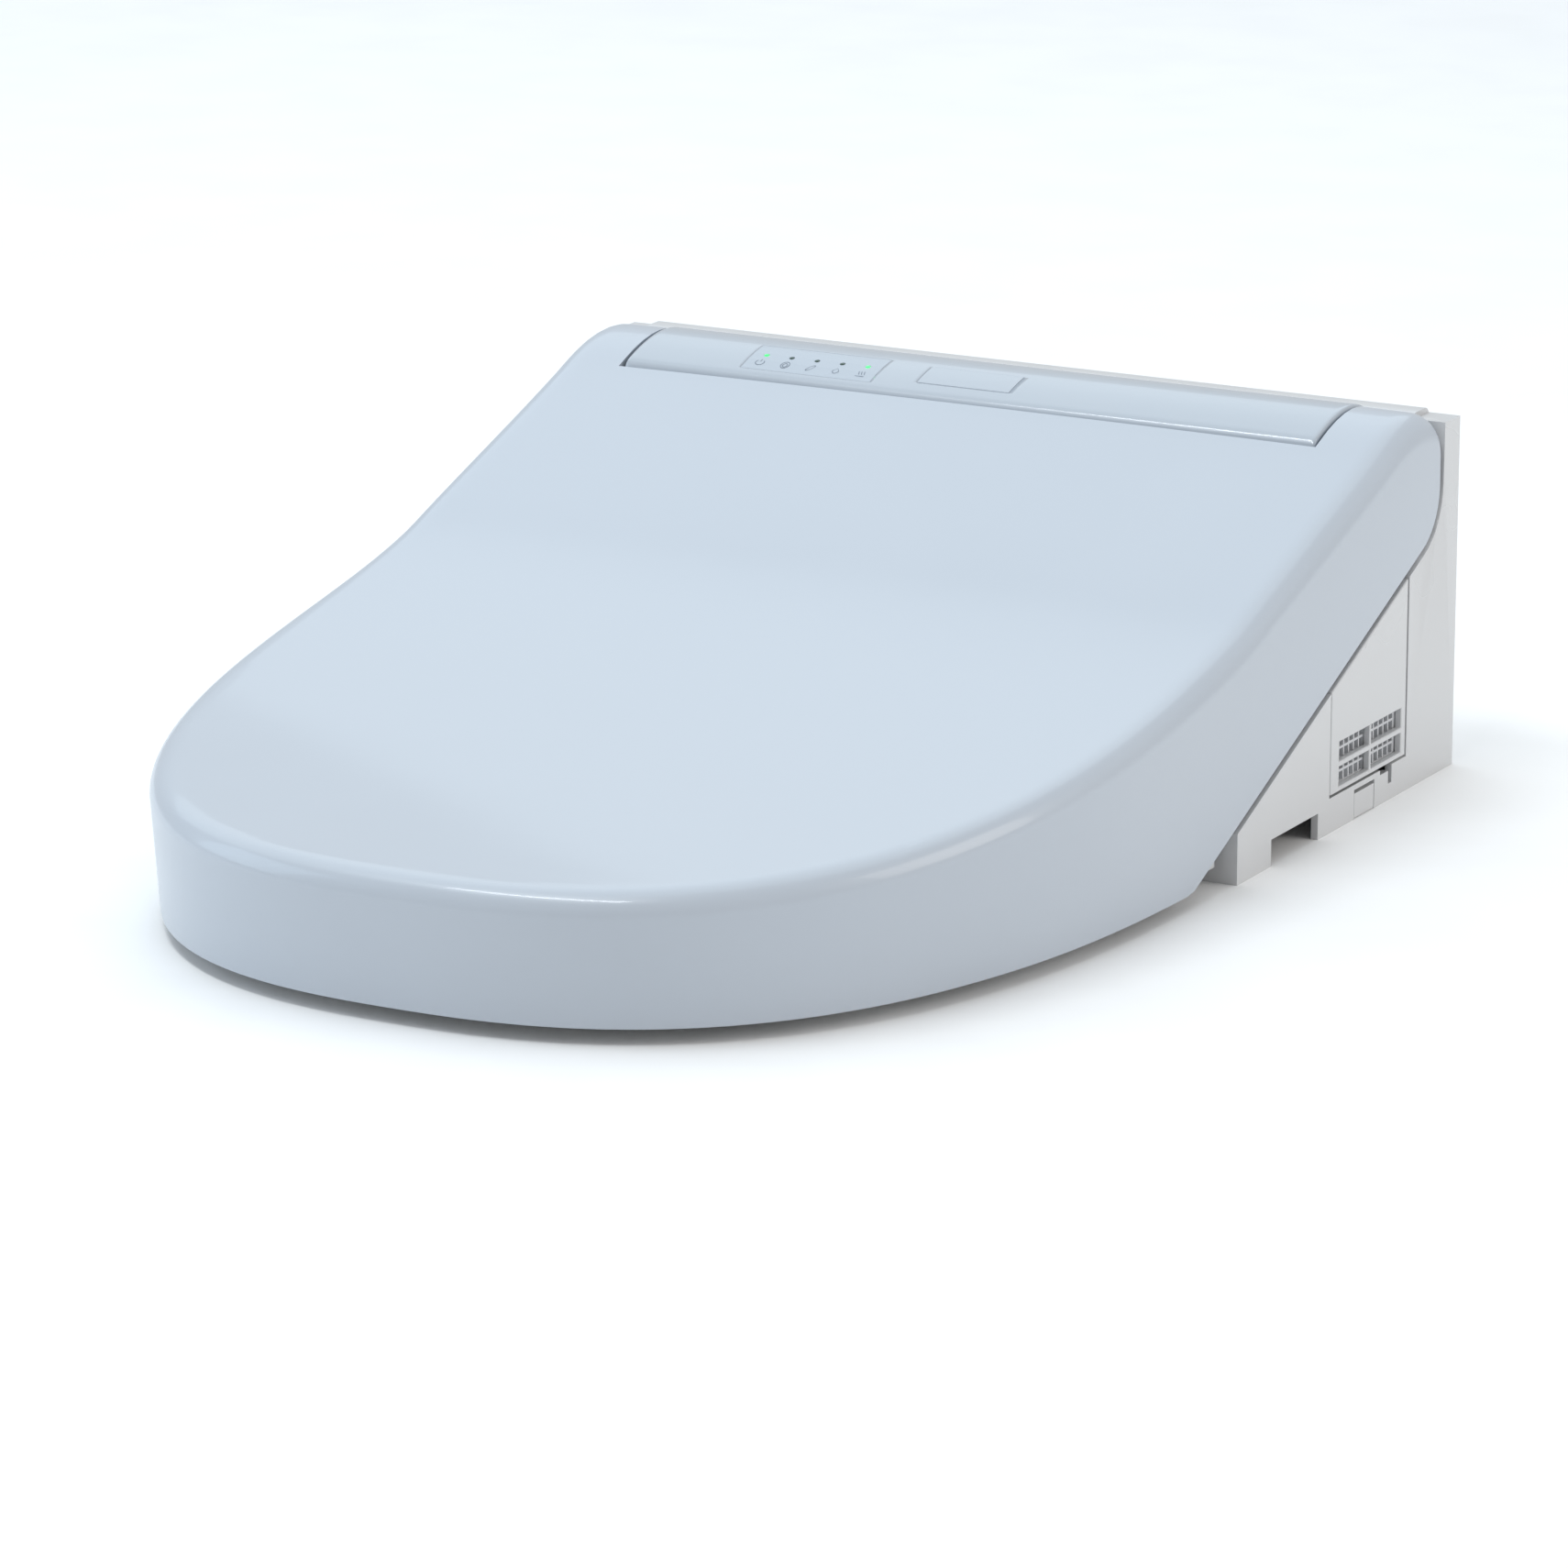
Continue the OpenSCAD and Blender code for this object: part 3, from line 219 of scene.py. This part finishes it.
def slice_at(bm, point, normal):
    """A cut line through the whole mesh, so faces beyond it can be taken away cleanly."""
    bmesh.ops.bisect_plane(bm, geom=bm.verts[:] + bm.edges[:] + bm.faces[:], dist=WELD,
        plane_co=point, plane_no=normal)

def pulled_rim(bm):
    """New vertices below the open rim, joined to it by faces, ready to be moved down."""
    pulled = bmesh.ops.extrude_edge_only(bm, edges=[e for e in bm.edges if e.is_boundary])["geom"]
    return [g for g in pulled if isinstance(g, bmesh.types.BMVert)]

def soften(piece, width, angle=35, segments=2):
    """Rounds every edge sharper than angle by width millimetres."""
    bevel = piece.modifiers.new("soft_edges", "BEVEL")
    bevel.width = width * MM
    bevel.segments = segments
    bevel.limit_method = "ANGLE"
    bevel.angle_limit = radians(angle)
    bevel.harden_normals = True
    return piece

# %% [markdown]
# ## The line over the top
# Seen from the side, the lid and the top strip share one line: a low crest over the hinge, a brow
# where the lid starts, a long straight fall, and a nearly level nose. Three Bezier curves carry it,
# as in the drawing, and everything on top reads its height from here.

# %% Side profile of the top
EAR_REAR_Y, STRIP_FRONT_Y, NOSE_Y, SLOPE_Y = 0.0402, -0.0112, -0.470, -0.130

def bezier(points, count=24):
    curve = []
    for i in range(count + 1):
        t = i / count
        weights = ((1 - t) ** 3, 3 * t * (1 - t) ** 2, 3 * t * t * (1 - t), t ** 3)
        curve.append(tuple(sum(w * p[k] for w, p in zip(weights, points)) for k in (0, 1)))
    return curve

TOP_LINE = (bezier(((EAR_REAR_Y, 0.1502), (0.028, 0.1565), (0.010, 0.155), (STRIP_FRONT_Y, 0.1455)))
    + bezier(((STRIP_FRONT_Y, 0.1455), (-0.050, 0.1305), (-0.095, 0.116), (SLOPE_Y, 0.103)))[1:]
    + bezier(((SLOPE_Y, 0.103), (-0.165, 0.0885), (-0.300, 0.066), (NOSE_Y, 0.056)))[1:])

def top_height(y):
    """Height of the shared top line at y."""
    for (y0, z0), (y1, z1) in zip(TOP_LINE, TOP_LINE[1:]):
        if y >= y1:
            return z0 + (z1 - z0) * min(1.0, max(0.0, (y0 - y) / (y0 - y1)))
    return TOP_LINE[-1][1]

print("crest", round(max(z for y, z in TOP_LINE), 4), "nose", round(top_height(NOSE_Y), 4))

# %% [markdown]
# ## The lid
# The real lid is one thin glossy moulding. Seen from above its sides are straight and its front is
# a fat oval, squarer than an ellipse. A flat grid is the start. Its rows and columns crowd to the
# rim, where the edge rolls over. It is laid into that outline and lifted to the top line. The rim
# is then pulled down to the lower edge, leaning in slightly at the nose, and a solidify gives the
# wall its thickness.

# %% Grid stations from the middle to the rim
LID_HALF, LID_REACH, LID_SQUARE = 0.1945, 0.282, 2.48
ROUND_Y = NOSE_Y + LID_REACH
RIM_STEPS = (0.0, 0.0003, 0.001, 0.0021, 0.0035, 0.0052, 0.0073, 0.0098, 0.013, 0.018, 0.025)

def stations(length, middle_count):
    """Places from 0 to length: even in the middle, crowded by the rim."""
    inner = length - RIM_STEPS[-1]
    return [inner * i / middle_count for i in range(middle_count)] + [length - s for s in reversed(RIM_STEPS)]

side = stations(LID_HALF, 22)
columns = [-x for x in reversed(side[1:])] + side
nose_rows = [-s for s in stations(LID_REACH, 30)]
rear_rows = [s for s in stations(EAR_REAR_Y - ROUND_Y, 26)]
rows = list(reversed(rear_rows[1:])) + nose_rows
print(len(columns), "columns", len(rows), "rows")

# %% Where a grid point lands, how far it is from the rim, and the rolled edge
def laid_in(x, s):
    """The grid point x across and s along (s < 0 is the nose) laid into the lid's outline."""
    if s >= 0:
        return x, ROUND_Y + s, LID_HALF - abs(x)
    u, v = x / LID_HALF, -s / LID_REACH
    a, b = u * sqrt(1 - v * v / 2), v * sqrt(1 - u * u / 2)
    reach = hypot(a, b)
    stretch = reach / (abs(a) ** LID_SQUARE + abs(b) ** LID_SQUARE) ** (1 / LID_SQUARE)
    a, b = a * stretch, b * stretch
    gauge = (abs(a) ** LID_SQUARE + abs(b) ** LID_SQUARE) ** (1 / LID_SQUARE)
    steep_x, steep_y = abs(a) ** (LID_SQUARE - 1) / LID_HALF, abs(b) ** (LID_SQUARE - 1) / LID_REACH
    slope = gauge ** (1 - LID_SQUARE) * hypot(steep_x, steep_y)
    return a * LID_HALF, ROUND_Y - b * LID_REACH, (1 - gauge) / slope

def rolled(distance, radius):
    """How far a rounded edge has dropped at this distance from the rim."""
    if distance >= radius:
        return 0.0
    return radius - sqrt(max(0.0, radius ** 2 - (radius - max(0.0, distance)) ** 2))

print("a rolled edge of 10 mm has dropped", round(rolled(0.002, 0.010) / MM, 1), "mm at 2 mm from the rim")

# %% Height of the lid's top
LID_CROWN, EDGE_R_FRONT, EDGE_R_GAIN, EDGE_R_OVER, EAR_REAR_R = 0.0011, 0.0095, 0.0025, 0.3, 0.003

def lid_top(x, y, distance):
    """The top line, a slight crown across, and an edge that rolls over more softly to the rear."""
    radius = EDGE_R_FRONT + EDGE_R_GAIN * max(0.0, min(1.0, (y + EDGE_R_OVER) / EDGE_R_OVER))
    crown = LID_CROWN * (1 - (x / LID_HALF) ** 2)
    return top_height(y) + crown - rolled(distance, radius) - rolled(EAR_REAR_Y - y, EAR_REAR_R)

print("lid's middle", round(lid_top(0, -0.2, 0.1), 4))

# %% The lid's lower edge

EDGE_Y, EDGE_Z, EDGE_SLOPE, LID_CLEAR, EAR_R = 0.009, 0.092, 0.43, 0.0065, 0.0262
EDGE_LENGTH = sqrt(1 + EDGE_SLOPE ** 2)
EAR_C = (EAR_REAR_Y - EAR_R, EDGE_Z + EDGE_SLOPE * (EAR_REAR_Y - EAR_R - EDGE_Y) + EAR_R * EDGE_LENGTH)
EAR_TURN_Y = EAR_C[0] + EAR_R * EDGE_SLOPE / EDGE_LENGTH

def lower_edge(y):
    """The lid's lower edge climbs to the rear, then turns up round the hinge."""
    if y > EAR_TURN_Y:
        return EAR_C[1] - sqrt(max(0.0, EAR_R ** 2 - (y - EAR_C[0]) ** 2))
    return max(LID_CLEAR, EDGE_Z + EDGE_SLOPE * (y - EDGE_Y))

print("ear turns at", round(EAR_TURN_Y, 4), round(lower_edge(EAR_TURN_Y), 4))

# %% Skirt and bay
BAY_HALF, BAY_FRONT_Y, REAR_LIP_Z = 0.1624, STRIP_FRONT_Y - 0.0016, 0.134
SKIRT_LEAN, LEAN_OVER, ON_REAR = 0.003, 0.15, 0.00005

def drop_skirt(bm):
    """Pulls the rim down to the lower edge, leaning in a little at the nose."""
    for v in pulled_rim(bm):
        on_rear = v.co.y > EAR_REAR_Y - ON_REAR and abs(v.co.x) < LID_HALF - 0.001
        v.co.z = REAR_LIP_Z if on_rear else lower_edge(v.co.y)
        lean = SKIRT_LEAN * max(0.0, min(1.0, (ROUND_Y - v.co.y) / LEAN_OVER))
        v.co.x -= lean * v.co.x / LID_HALF
        v.co.y += lean * (ROUND_Y - v.co.y) / LID_REACH

def open_bay(bm):
    """Takes out the faces where the top strip shows between the lid's two ears."""
    for point, normal in (((BAY_HALF, 0, 0), (1, 0, 0)), ((-BAY_HALF, 0, 0), (1, 0, 0)),
            ((0, BAY_FRONT_Y, 0), (0, 1, 0))):
        slice_at(bm, point, normal)
    middles = [(f, f.calc_center_median()) for f in bm.faces]
    bay = [f for f, m in middles if abs(m.x) < BAY_HALF and m.y > BAY_FRONT_Y]
    bmesh.ops.delete(bm, geom=bay, context="FACES")

print("bay", round(2 * BAY_HALF, 4), "wide, from", round(BAY_FRONT_Y, 4), "to the rear")

# %% Lid: grid, outline, skirt, bay, wall
LID_WALL, SKIRT_TOP_Z = 0.003, 0.05

def lid_shell():
    """The whole lid as one open skin with its faces outwards."""
    bm = bmesh.new()
    bmesh.ops.create_grid(bm, x_segments=len(columns) - 1, y_segments=len(rows) - 1, size=1)
    for v in bm.verts:
        x, y, distance = laid_in(*grid_spot(v, columns, rows[::-1]))
        v.co = (x, y, lid_top(x, y, distance))
    drop_skirt(bm)
    open_bay(bm)
    bmesh.ops.remove_doubles(bm, verts=bm.verts, dist=WELD)
    bmesh.ops.recalc_face_normals(bm, faces=bm.faces)
    if sum(f.normal.z for f in bm.faces if f.calc_center_median().z > SKIRT_TOP_Z) < 0:
        bmesh.ops.reverse_faces(bm, faces=bm.faces)
    return bm

lid = end_piece(lid_shell(), "lid_shell", "lid", "lid_plastic", lid_gloss_painted_cool_light, "lid", sharp=50)
wall = lid.modifiers.new("wall", "SOLIDIFY")
wall.thickness, wall.offset, wall.use_even_offset = LID_WALL, -1.0, False
soften(lid, 0.5, 60)

# %% [markdown]
# ## What the lid hides underneath
# Two thick knuckles carry the lid on the hinge pins, and four short posts hold its rubber buffers
# off the seat. They are turned shapes, so each is a cone or cylinder with its edges rolled.

# %% Lid knuckles and buffer posts
HINGE_Y, HINGE_Z, PEG_EDGE = 0.018, 0.140, 0.0006
KNUCKLE_R, KNUCKLE_L, KNUCKLE_X = 0.0062, 0.024, 0.1765
POST_R, REST_R, UNDER_TOP = 0.005, 0.006, 0.0035

def once(items):
    """The items without repeats, in the order met, so every run makes the same mesh."""
    return list(dict.fromkeys(items))

def turned_peg(bm, radius, length, place, turn=None):
    """A round peg along Z, or turned, with both ends' edges rolled."""
    made = bmesh.ops.create_cone(bm, cap_ends=True, segments=40, radius1=radius, radius2=radius,
        depth=length)["verts"]
    ends = [e for e in once(e for v in made for e in v.link_edges)
        if sum(len(f.verts) > 4 for f in e.link_faces) == 1]
    rolled_ends = bmesh.ops.bevel(bm, geom=ends, offset=PEG_EDGE, offset_type="OFFSET", segments=2,
        profile=0.5, affect="EDGES", material=-1)["verts"]
    made = once(rolled_ends + [v for v in made if v.is_valid])
    if turn:
        bmesh.ops.rotate(bm, verts=made, cent=(0, 0, 0), matrix=turn)
    bmesh.ops.translate(bm, verts=made, vec=place)

lid_low, lid_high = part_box("lid_buffers")
posts = bmesh.new()
for side_x in (-1, 1):
    turned_peg(posts, KNUCKLE_R, KNUCKLE_L, (side_x * KNUCKLE_X, HINGE_Y, HINGE_Z),
        Matrix.Rotation(pi / 2, 3, "Y"))
    for y in (lid_high[1] - REST_R, lid_low[1] + REST_R):
        top = top_height(y) - UNDER_TOP
        middle = (side_x * (lid_high[0] - REST_R), y, (top + lid_high[2]) / 2)
        turned_peg(posts, POST_R, top - lid_high[2], middle)
end_piece(posts, "lid_knuckles_and_posts", "lid", "lid_plastic", lid_gloss_painted_cool_light)

# %% [markdown]
# ## The top strip
# Behind the lid a strip of the case carries the lamps. Its front edge is a bright round lip over a
# thin dark seam. It is a grid again, rolled at its four rims, with openings left for the window
# and the blank badge, so those sit in it as inserts with a hairline of shadow round them.

# %% Where the strip and its inserts lie
STRIP_HALF, STRIP_RISE, INSERT_GAP = 0.161, 0.0012, 0.00015
STRIP_REAR_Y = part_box("display_panel")[1][1]
INSERTS = (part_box("indicator_window"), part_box("blank_badge"))
LIP_R, END_R, REAR_R = 0.0042, 0.0018, 0.0015
FOOT_Z, SHORT_SKIRT, SKIRT_CEILING = 0.1392, 0.003, 0.1445
print("strip", round(STRIP_REAR_Y - STRIP_FRONT_Y, 4), "deep")

# %% Top strip with openings
def open_insert(bm, low, high):
    """An opening for an insert, a hairline larger all round."""
    x0, x1, y0, y1 = low[0] - INSERT_GAP, high[0] + INSERT_GAP, low[1] - INSERT_GAP, high[1] + INSERT_GAP
    for point, normal in (((x0, 0, 0), (1, 0, 0)), ((x1, 0, 0), (1, 0, 0)), ((0, y0, 0), (0, 1, 0)),
            ((0, y1, 0), (0, 1, 0))):
        slice_at(bm, point, normal)
    middles = [(f, f.calc_center_median()) for f in bm.faces if f.normal.z > 0.3]
    bmesh.ops.delete(bm, geom=[f for f, m in middles if x0 < m.x < x1 and y0 < m.y < y1], context="FACES")

def strip_shell():
    """The strip's skin: a grid with crowded rims, rolled over and pulled down all round."""
    bm = bmesh.new()
    across = stations(STRIP_HALF, 40)
    across = [-x for x in reversed(across[1:])] + across
    depth = STRIP_REAR_Y - STRIP_FRONT_Y
    along = [STRIP_FRONT_Y + depth * i / 44 for i in range(45)]
    along += [STRIP_FRONT_Y + s for s in RIM_STEPS[:7]] + [STRIP_REAR_Y - s for s in RIM_STEPS[:6]]
    along = sorted(set(along))
    bmesh.ops.create_grid(bm, x_segments=len(across) - 1, y_segments=len(along) - 1, size=1)
    for v in bm.verts:
        x, y = grid_spot(v, across, along)
        z = top_height(y) + STRIP_RISE - rolled(STRIP_HALF - abs(x), END_R)
        v.co = (x, y, z - rolled(y - STRIP_FRONT_Y, LIP_R) - rolled(STRIP_REAR_Y - y, REAR_R))
    for v in pulled_rim(bm):
        on_front = v.co.y < STRIP_FRONT_Y + 0.001
        v.co.z = FOOT_Z if on_front else max(FOOT_Z, min(v.co.z - SHORT_SKIRT, SKIRT_CEILING))
    for low, high in INSERTS:
        open_insert(bm, low, high)
    bmesh.ops.remove_doubles(bm, verts=bm.verts, dist=WELD)
    return bm

strip = end_piece(strip_shell(), "top_strip", "unit", "panel_plastic", strip_gloss_painted_cool_light, "display_panel", sharp=50)
wall = strip.modifiers.new("wall", "SOLIDIFY")
wall.thickness, wall.offset = 0.002, -1.0

# %% [markdown]
# ## Lamps and marks in the window
# Five round lamps sit in a row, the two outer ones lit green. In front of each is a thin printed
# mark: a power ring, a seat, a spray, a drop and warm air. Generic marks made of rings and bars
# are enough. Each is cut thin and laid on the window's own slope.

# %% Lamps
lamp_low, lamp_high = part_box("indicator_lamps")
LAMP_Y = (lamp_low[1] + lamp_high[1]) / 2
LAMP_INSET, LAMP_R, LAMP_L, LAMP_SINK = 0.001, 0.00105, 0.0045, 0.0019
LAMP_SPAN = lamp_high[0] - lamp_low[0] - 2 * LAMP_INSET
LAMP_X = [lamp_low[0] + LAMP_INSET + LAMP_SPAN * i / 4 for i in range(5)]

def lamps(chosen):
    """The chosen lamps, left to right from 0, standing just proud of the window."""
    bm = bmesh.new()
    for i in chosen:
        turned_peg(bm, LAMP_R, LAMP_L, (LAMP_X[i], LAMP_Y, top_height(LAMP_Y) + STRIP_RISE - LAMP_SINK))
    return bm

end_piece(lamps((0, 4)), "lamps_lit", "unit", "lamp_green", lamp_lit, "indicator_lamps")
end_piece(lamps((1, 2, 3)), "lamps_dark", "unit", "lamp_green", lamp_off)

# %% Marks
MARK_Y, STROKE, MARK_LIFT = LAMP_Y - 0.0062, 0.00028, 0.00006

def ring_mark(bm, x, y, rx, ry, turn=0.0, gap=False):
    """A thin ring; a gap leaves its rear open, as in a power mark."""
    ring = bmesh.ops.create_circle(bm, cap_ends=False, segments=32, radius=1.0)["verts"]
    if gap:
        bmesh.ops.delete(bm, geom=[v for v in ring if v.co.y > 0.75], context="VERTS")
        ring = [v for v in ring if v.is_valid]
    for v in ring:
        v.co = (v.co.x * rx, v.co.y * ry, 0)
    edges = once(e for v in ring for e in v.link_edges)
    inner = bmesh.ops.extrude_edge_only(bm, edges=edges)["geom"]
    inner = [g for g in inner if isinstance(g, bmesh.types.BMVert)]
    for v in inner:
        v.co *= 1 - 2 * STROKE / (rx + ry)
    both = ring + inner
    bmesh.ops.rotate(bm, verts=both, cent=(0, 0, 0), matrix=Matrix.Rotation(turn, 3, "Z"))
    bmesh.ops.translate(bm, verts=both, vec=(x, y, 0))
    return both

def bar_mark(bm, x, y, length, turn=0.0):
    """A thin straight stroke, along Y unless turned."""
    bar = bmesh.ops.create_grid(bm, x_segments=1, y_segments=6, size=0.5)["verts"]
    bmesh.ops.scale(bm, verts=bar, vec=(STROKE, length, 1))
    bmesh.ops.rotate(bm, verts=bar, cent=(0, 0, 0), matrix=Matrix.Rotation(turn, 3, "Z"))
    bmesh.ops.translate(bm, verts=bar, vec=(x, y, 0))

def window_marks():
    """All five marks, flat at first and then laid on the window's slope."""
    bm = bmesh.new()
    # Power: an open ring and a bar
    ring_mark(bm, LAMP_X[0], MARK_Y, 0.0021, 0.0021, gap=True)
    bar_mark(bm, LAMP_X[0], MARK_Y + 0.0015, 0.0018)
    # Seat: two ovals
    ring_mark(bm, LAMP_X[1], MARK_Y, 0.0020, 0.0025)
    ring_mark(bm, LAMP_X[1], MARK_Y - 0.0002, 0.0011, 0.0015)
    # Spray: a slanted pill
    ring_mark(bm, LAMP_X[2], MARK_Y, 0.0009, 0.0026, turn=-0.6)
    # Drop: an oval whose rear half narrows to a point
    drop = ring_mark(bm, LAMP_X[3], MARK_Y, 0.0015, 0.0020)
    for v in drop:
        if v.co.y > MARK_Y:
            v.co.x = LAMP_X[3] + (v.co.x - LAMP_X[3]) * (1 - (v.co.y - MARK_Y) / 0.0026)
    # Warm air: three slanted bars over a line
    for k in (-1, 0, 1):
        bar_mark(bm, LAMP_X[4] + k * 0.0013, MARK_Y + 0.0005, 0.0026, turn=0.35)
    bar_mark(bm, LAMP_X[4], MARK_Y - 0.0019, 0.0042, turn=pi / 2)
    for v in bm.verts:
        v.co.z = top_height(v.co.y) + STRIP_RISE + MARK_LIFT
    bmesh.ops.recalc_face_normals(bm, faces=bm.faces)
    for f in bm.faces:
        if f.normal.z < 0:
            f.normal_flip()
    return bm

end_piece(window_marks(), "window_marks", "unit", "window_plastic", mark_grey)

# %% [markdown]
# ## The case and its covers
# The case, the filter door, the release button and the rear cover are right in the drawing but
# their edges are knife sharp. A copy of each has its triangles joined and its flat faces made
# whole, and a small bevel then catches the light along every edge as a moulded radius does.

# %% Case, covers and plate with moulded radii
SOFT_COPIES = (
    ("housing", "case", "unit", case_gloss, 1.2),
    ("filter_cover", "filter_door", "filter", case_gloss, 0.6),
    ("detach_button", "release_button", "button", case_gloss, 0.5),
    ("rear_cover", "back_cover", "unit", case_gloss, 0.5),
    ("blank_badge", "plain_badge", "unit", strip_gloss_painted_cool_light, 0.2),
    ("lower_case", "case_bottom", "unit", inner_white, 0.4),
    ("mounting_plate", "bowl_plate", "plate", inner_white, 0.5),
    ("wand_tip", "nozzle_head", "wand", inner_white, 0.3),
    ("dryer_flap", "air_flap", "flap", inner_white, 0.3),
    ("seat_bottom", "seat_underside", "seat", inner_white, 0.3),
    ("heater_tank", "water_heater", "unit", inner_white, 1.0),
    ("body_feet", "case_feet", "unit", black_rubber, 0.5),
    ("seat_buffers", "seat_rests", "seat", black_rubber, 0.6),
    ("lid_buffers", "lid_rests", "lid", black_rubber, 0.4))
for node, name, body, material, width in SOFT_COPIES:
    soften(end_piece(joined_copy(node), name, body, SLOT_OF_NODE[node], material, node), width)

# %% [markdown]
# ## The seat ring
# Only the edge of the seat shows while the lid is down, but with the lid up it is what people see
# and touch. Its top edges are rolled by a wide bevel, outside and round the opening.

# %% Seat ring with rolled edges
SEAT_TOP_Z, SEAT_EDGE, LEVEL = 0.038, 0.0065, 0.00001
AHEAD_OF_CASE_Y = -0.16

def seat_ring():
    """The seat's solid with the edges round its top and its opening rolled."""
    bm = joined_copy("seat_top")
    rim = [e for e in bm.edges if e.calc_face_angle(0) > radians(60)
        and all(abs(v.co.z - SEAT_TOP_Z) < LEVEL and v.co.y < AHEAD_OF_CASE_Y for v in e.verts)]
    bmesh.ops.bevel(bm, geom=rim, offset=SEAT_EDGE, offset_type="OFFSET", segments=5, profile=0.5,
        affect="EDGES", material=-1, clamp_overlap=False)
    return bm

end_piece(seat_ring(), "seat_ring", "seat", "seat_plastic", seat_gloss, "seat_top", sharp=40)

# %% [markdown]
# ## Floor, light and camera
# A pale floor and large soft lights keep the gloss readable: cool ones above and to the left, and a
# warmer one on the right. A narrow light ahead draws the bright line along the lid's front edge.
# The camera stands well back with a long lens, a little above the lid.

# %% Floor
FLOOR_HALF = 6.0

def pale_floor():
    """A plain painted floor, which isn't part of the object."""
    bm = bmesh.new()
    bmesh.ops.create_grid(bm, x_segments=8, y_segments=8, size=FLOOR_HALF)
    mesh = bpy.data.meshes.new("pale_floor")
    bm.to_mesh(mesh)
    bm.free()
    mesh.materials.append(finish("floor_paint", (0.93, 0.93, 0.93), (0.95, 0.95, 0.95), (0.8, 0.9), 60.0))
    floor = bpy.data.objects.new("pale_floor", mesh)
    bpy.context.scene.collection.objects.link(floor)

pale_floor()
print("floor", 2 * FLOOR_HALF, "m square")

# %% Lights and surrounding light
def soft_light(name, place, aim, size, power, colour, depth=None):
    """A flat light of size by depth metres, square unless depth is given."""
    light = bpy.data.lights.new(name, "AREA")
    light.shape, light.size, light.size_y = "RECTANGLE", size, depth or size
    light.energy, light.color = power, colour
    lamp = bpy.data.objects.new(name, light)
    lamp.location = place
    lamp.rotation_euler = (Vector(aim) - Vector(place)).to_track_quat("-Z", "Y").to_euler()
    bpy.context.scene.collection.objects.link(lamp)

soft_light("top_light", (-0.9, 0.9, 2.6), (0, -0.2, 0.1), 4.2, 52, (0.76, 0.90, 1.0))
soft_light("left_light", (-2.2, -1.2, 1.1), (0, -0.2, 0.1), 1.6, 15, (0.66, 0.84, 1.0))
soft_light("right_light", (2.0, 0.3, 0.9), (0, -0.1, 0.1), 1.2, 11, (1.0, 0.96, 0.91))
soft_light("edge_light", (-0.3, -1.0, 2.2), (0, -0.4, 0.05), 1.6, 16, (0.92, 0.97, 1.0), 0.16)

SURROUND = 0.56
world = bpy.data.worlds.new("studio")
world.use_nodes = True
background = world.node_tree.nodes["Background"]
background.inputs["Color"].default_value = (1.0, 1.0, 1.0, 1.0)
background.inputs["Strength"].default_value = SURROUND
bpy.context.scene.world = world
bpy.context.scene.view_settings.view_transform = "Standard"
print("four lights and a white surround")

# %% Camera
LENS, SENSOR, LOOK_DOWN, TURNED = 173.14, 36.0, 0.267651, 0.500014
camera = bpy.data.objects.new("camera", bpy.data.cameras.new("camera"))
camera.data.lens, camera.data.sensor_width = LENS, SENSOR
camera.location = (1.40105, -2.72827, 0.82038)
camera.rotation_euler = (pi / 2 - LOOK_DOWN, 0.0, TURNED)
bpy.context.scene.collection.objects.link(camera)
bpy.context.scene.camera = camera
print("camera at", tuple(round(v, 3) for v in camera.location))
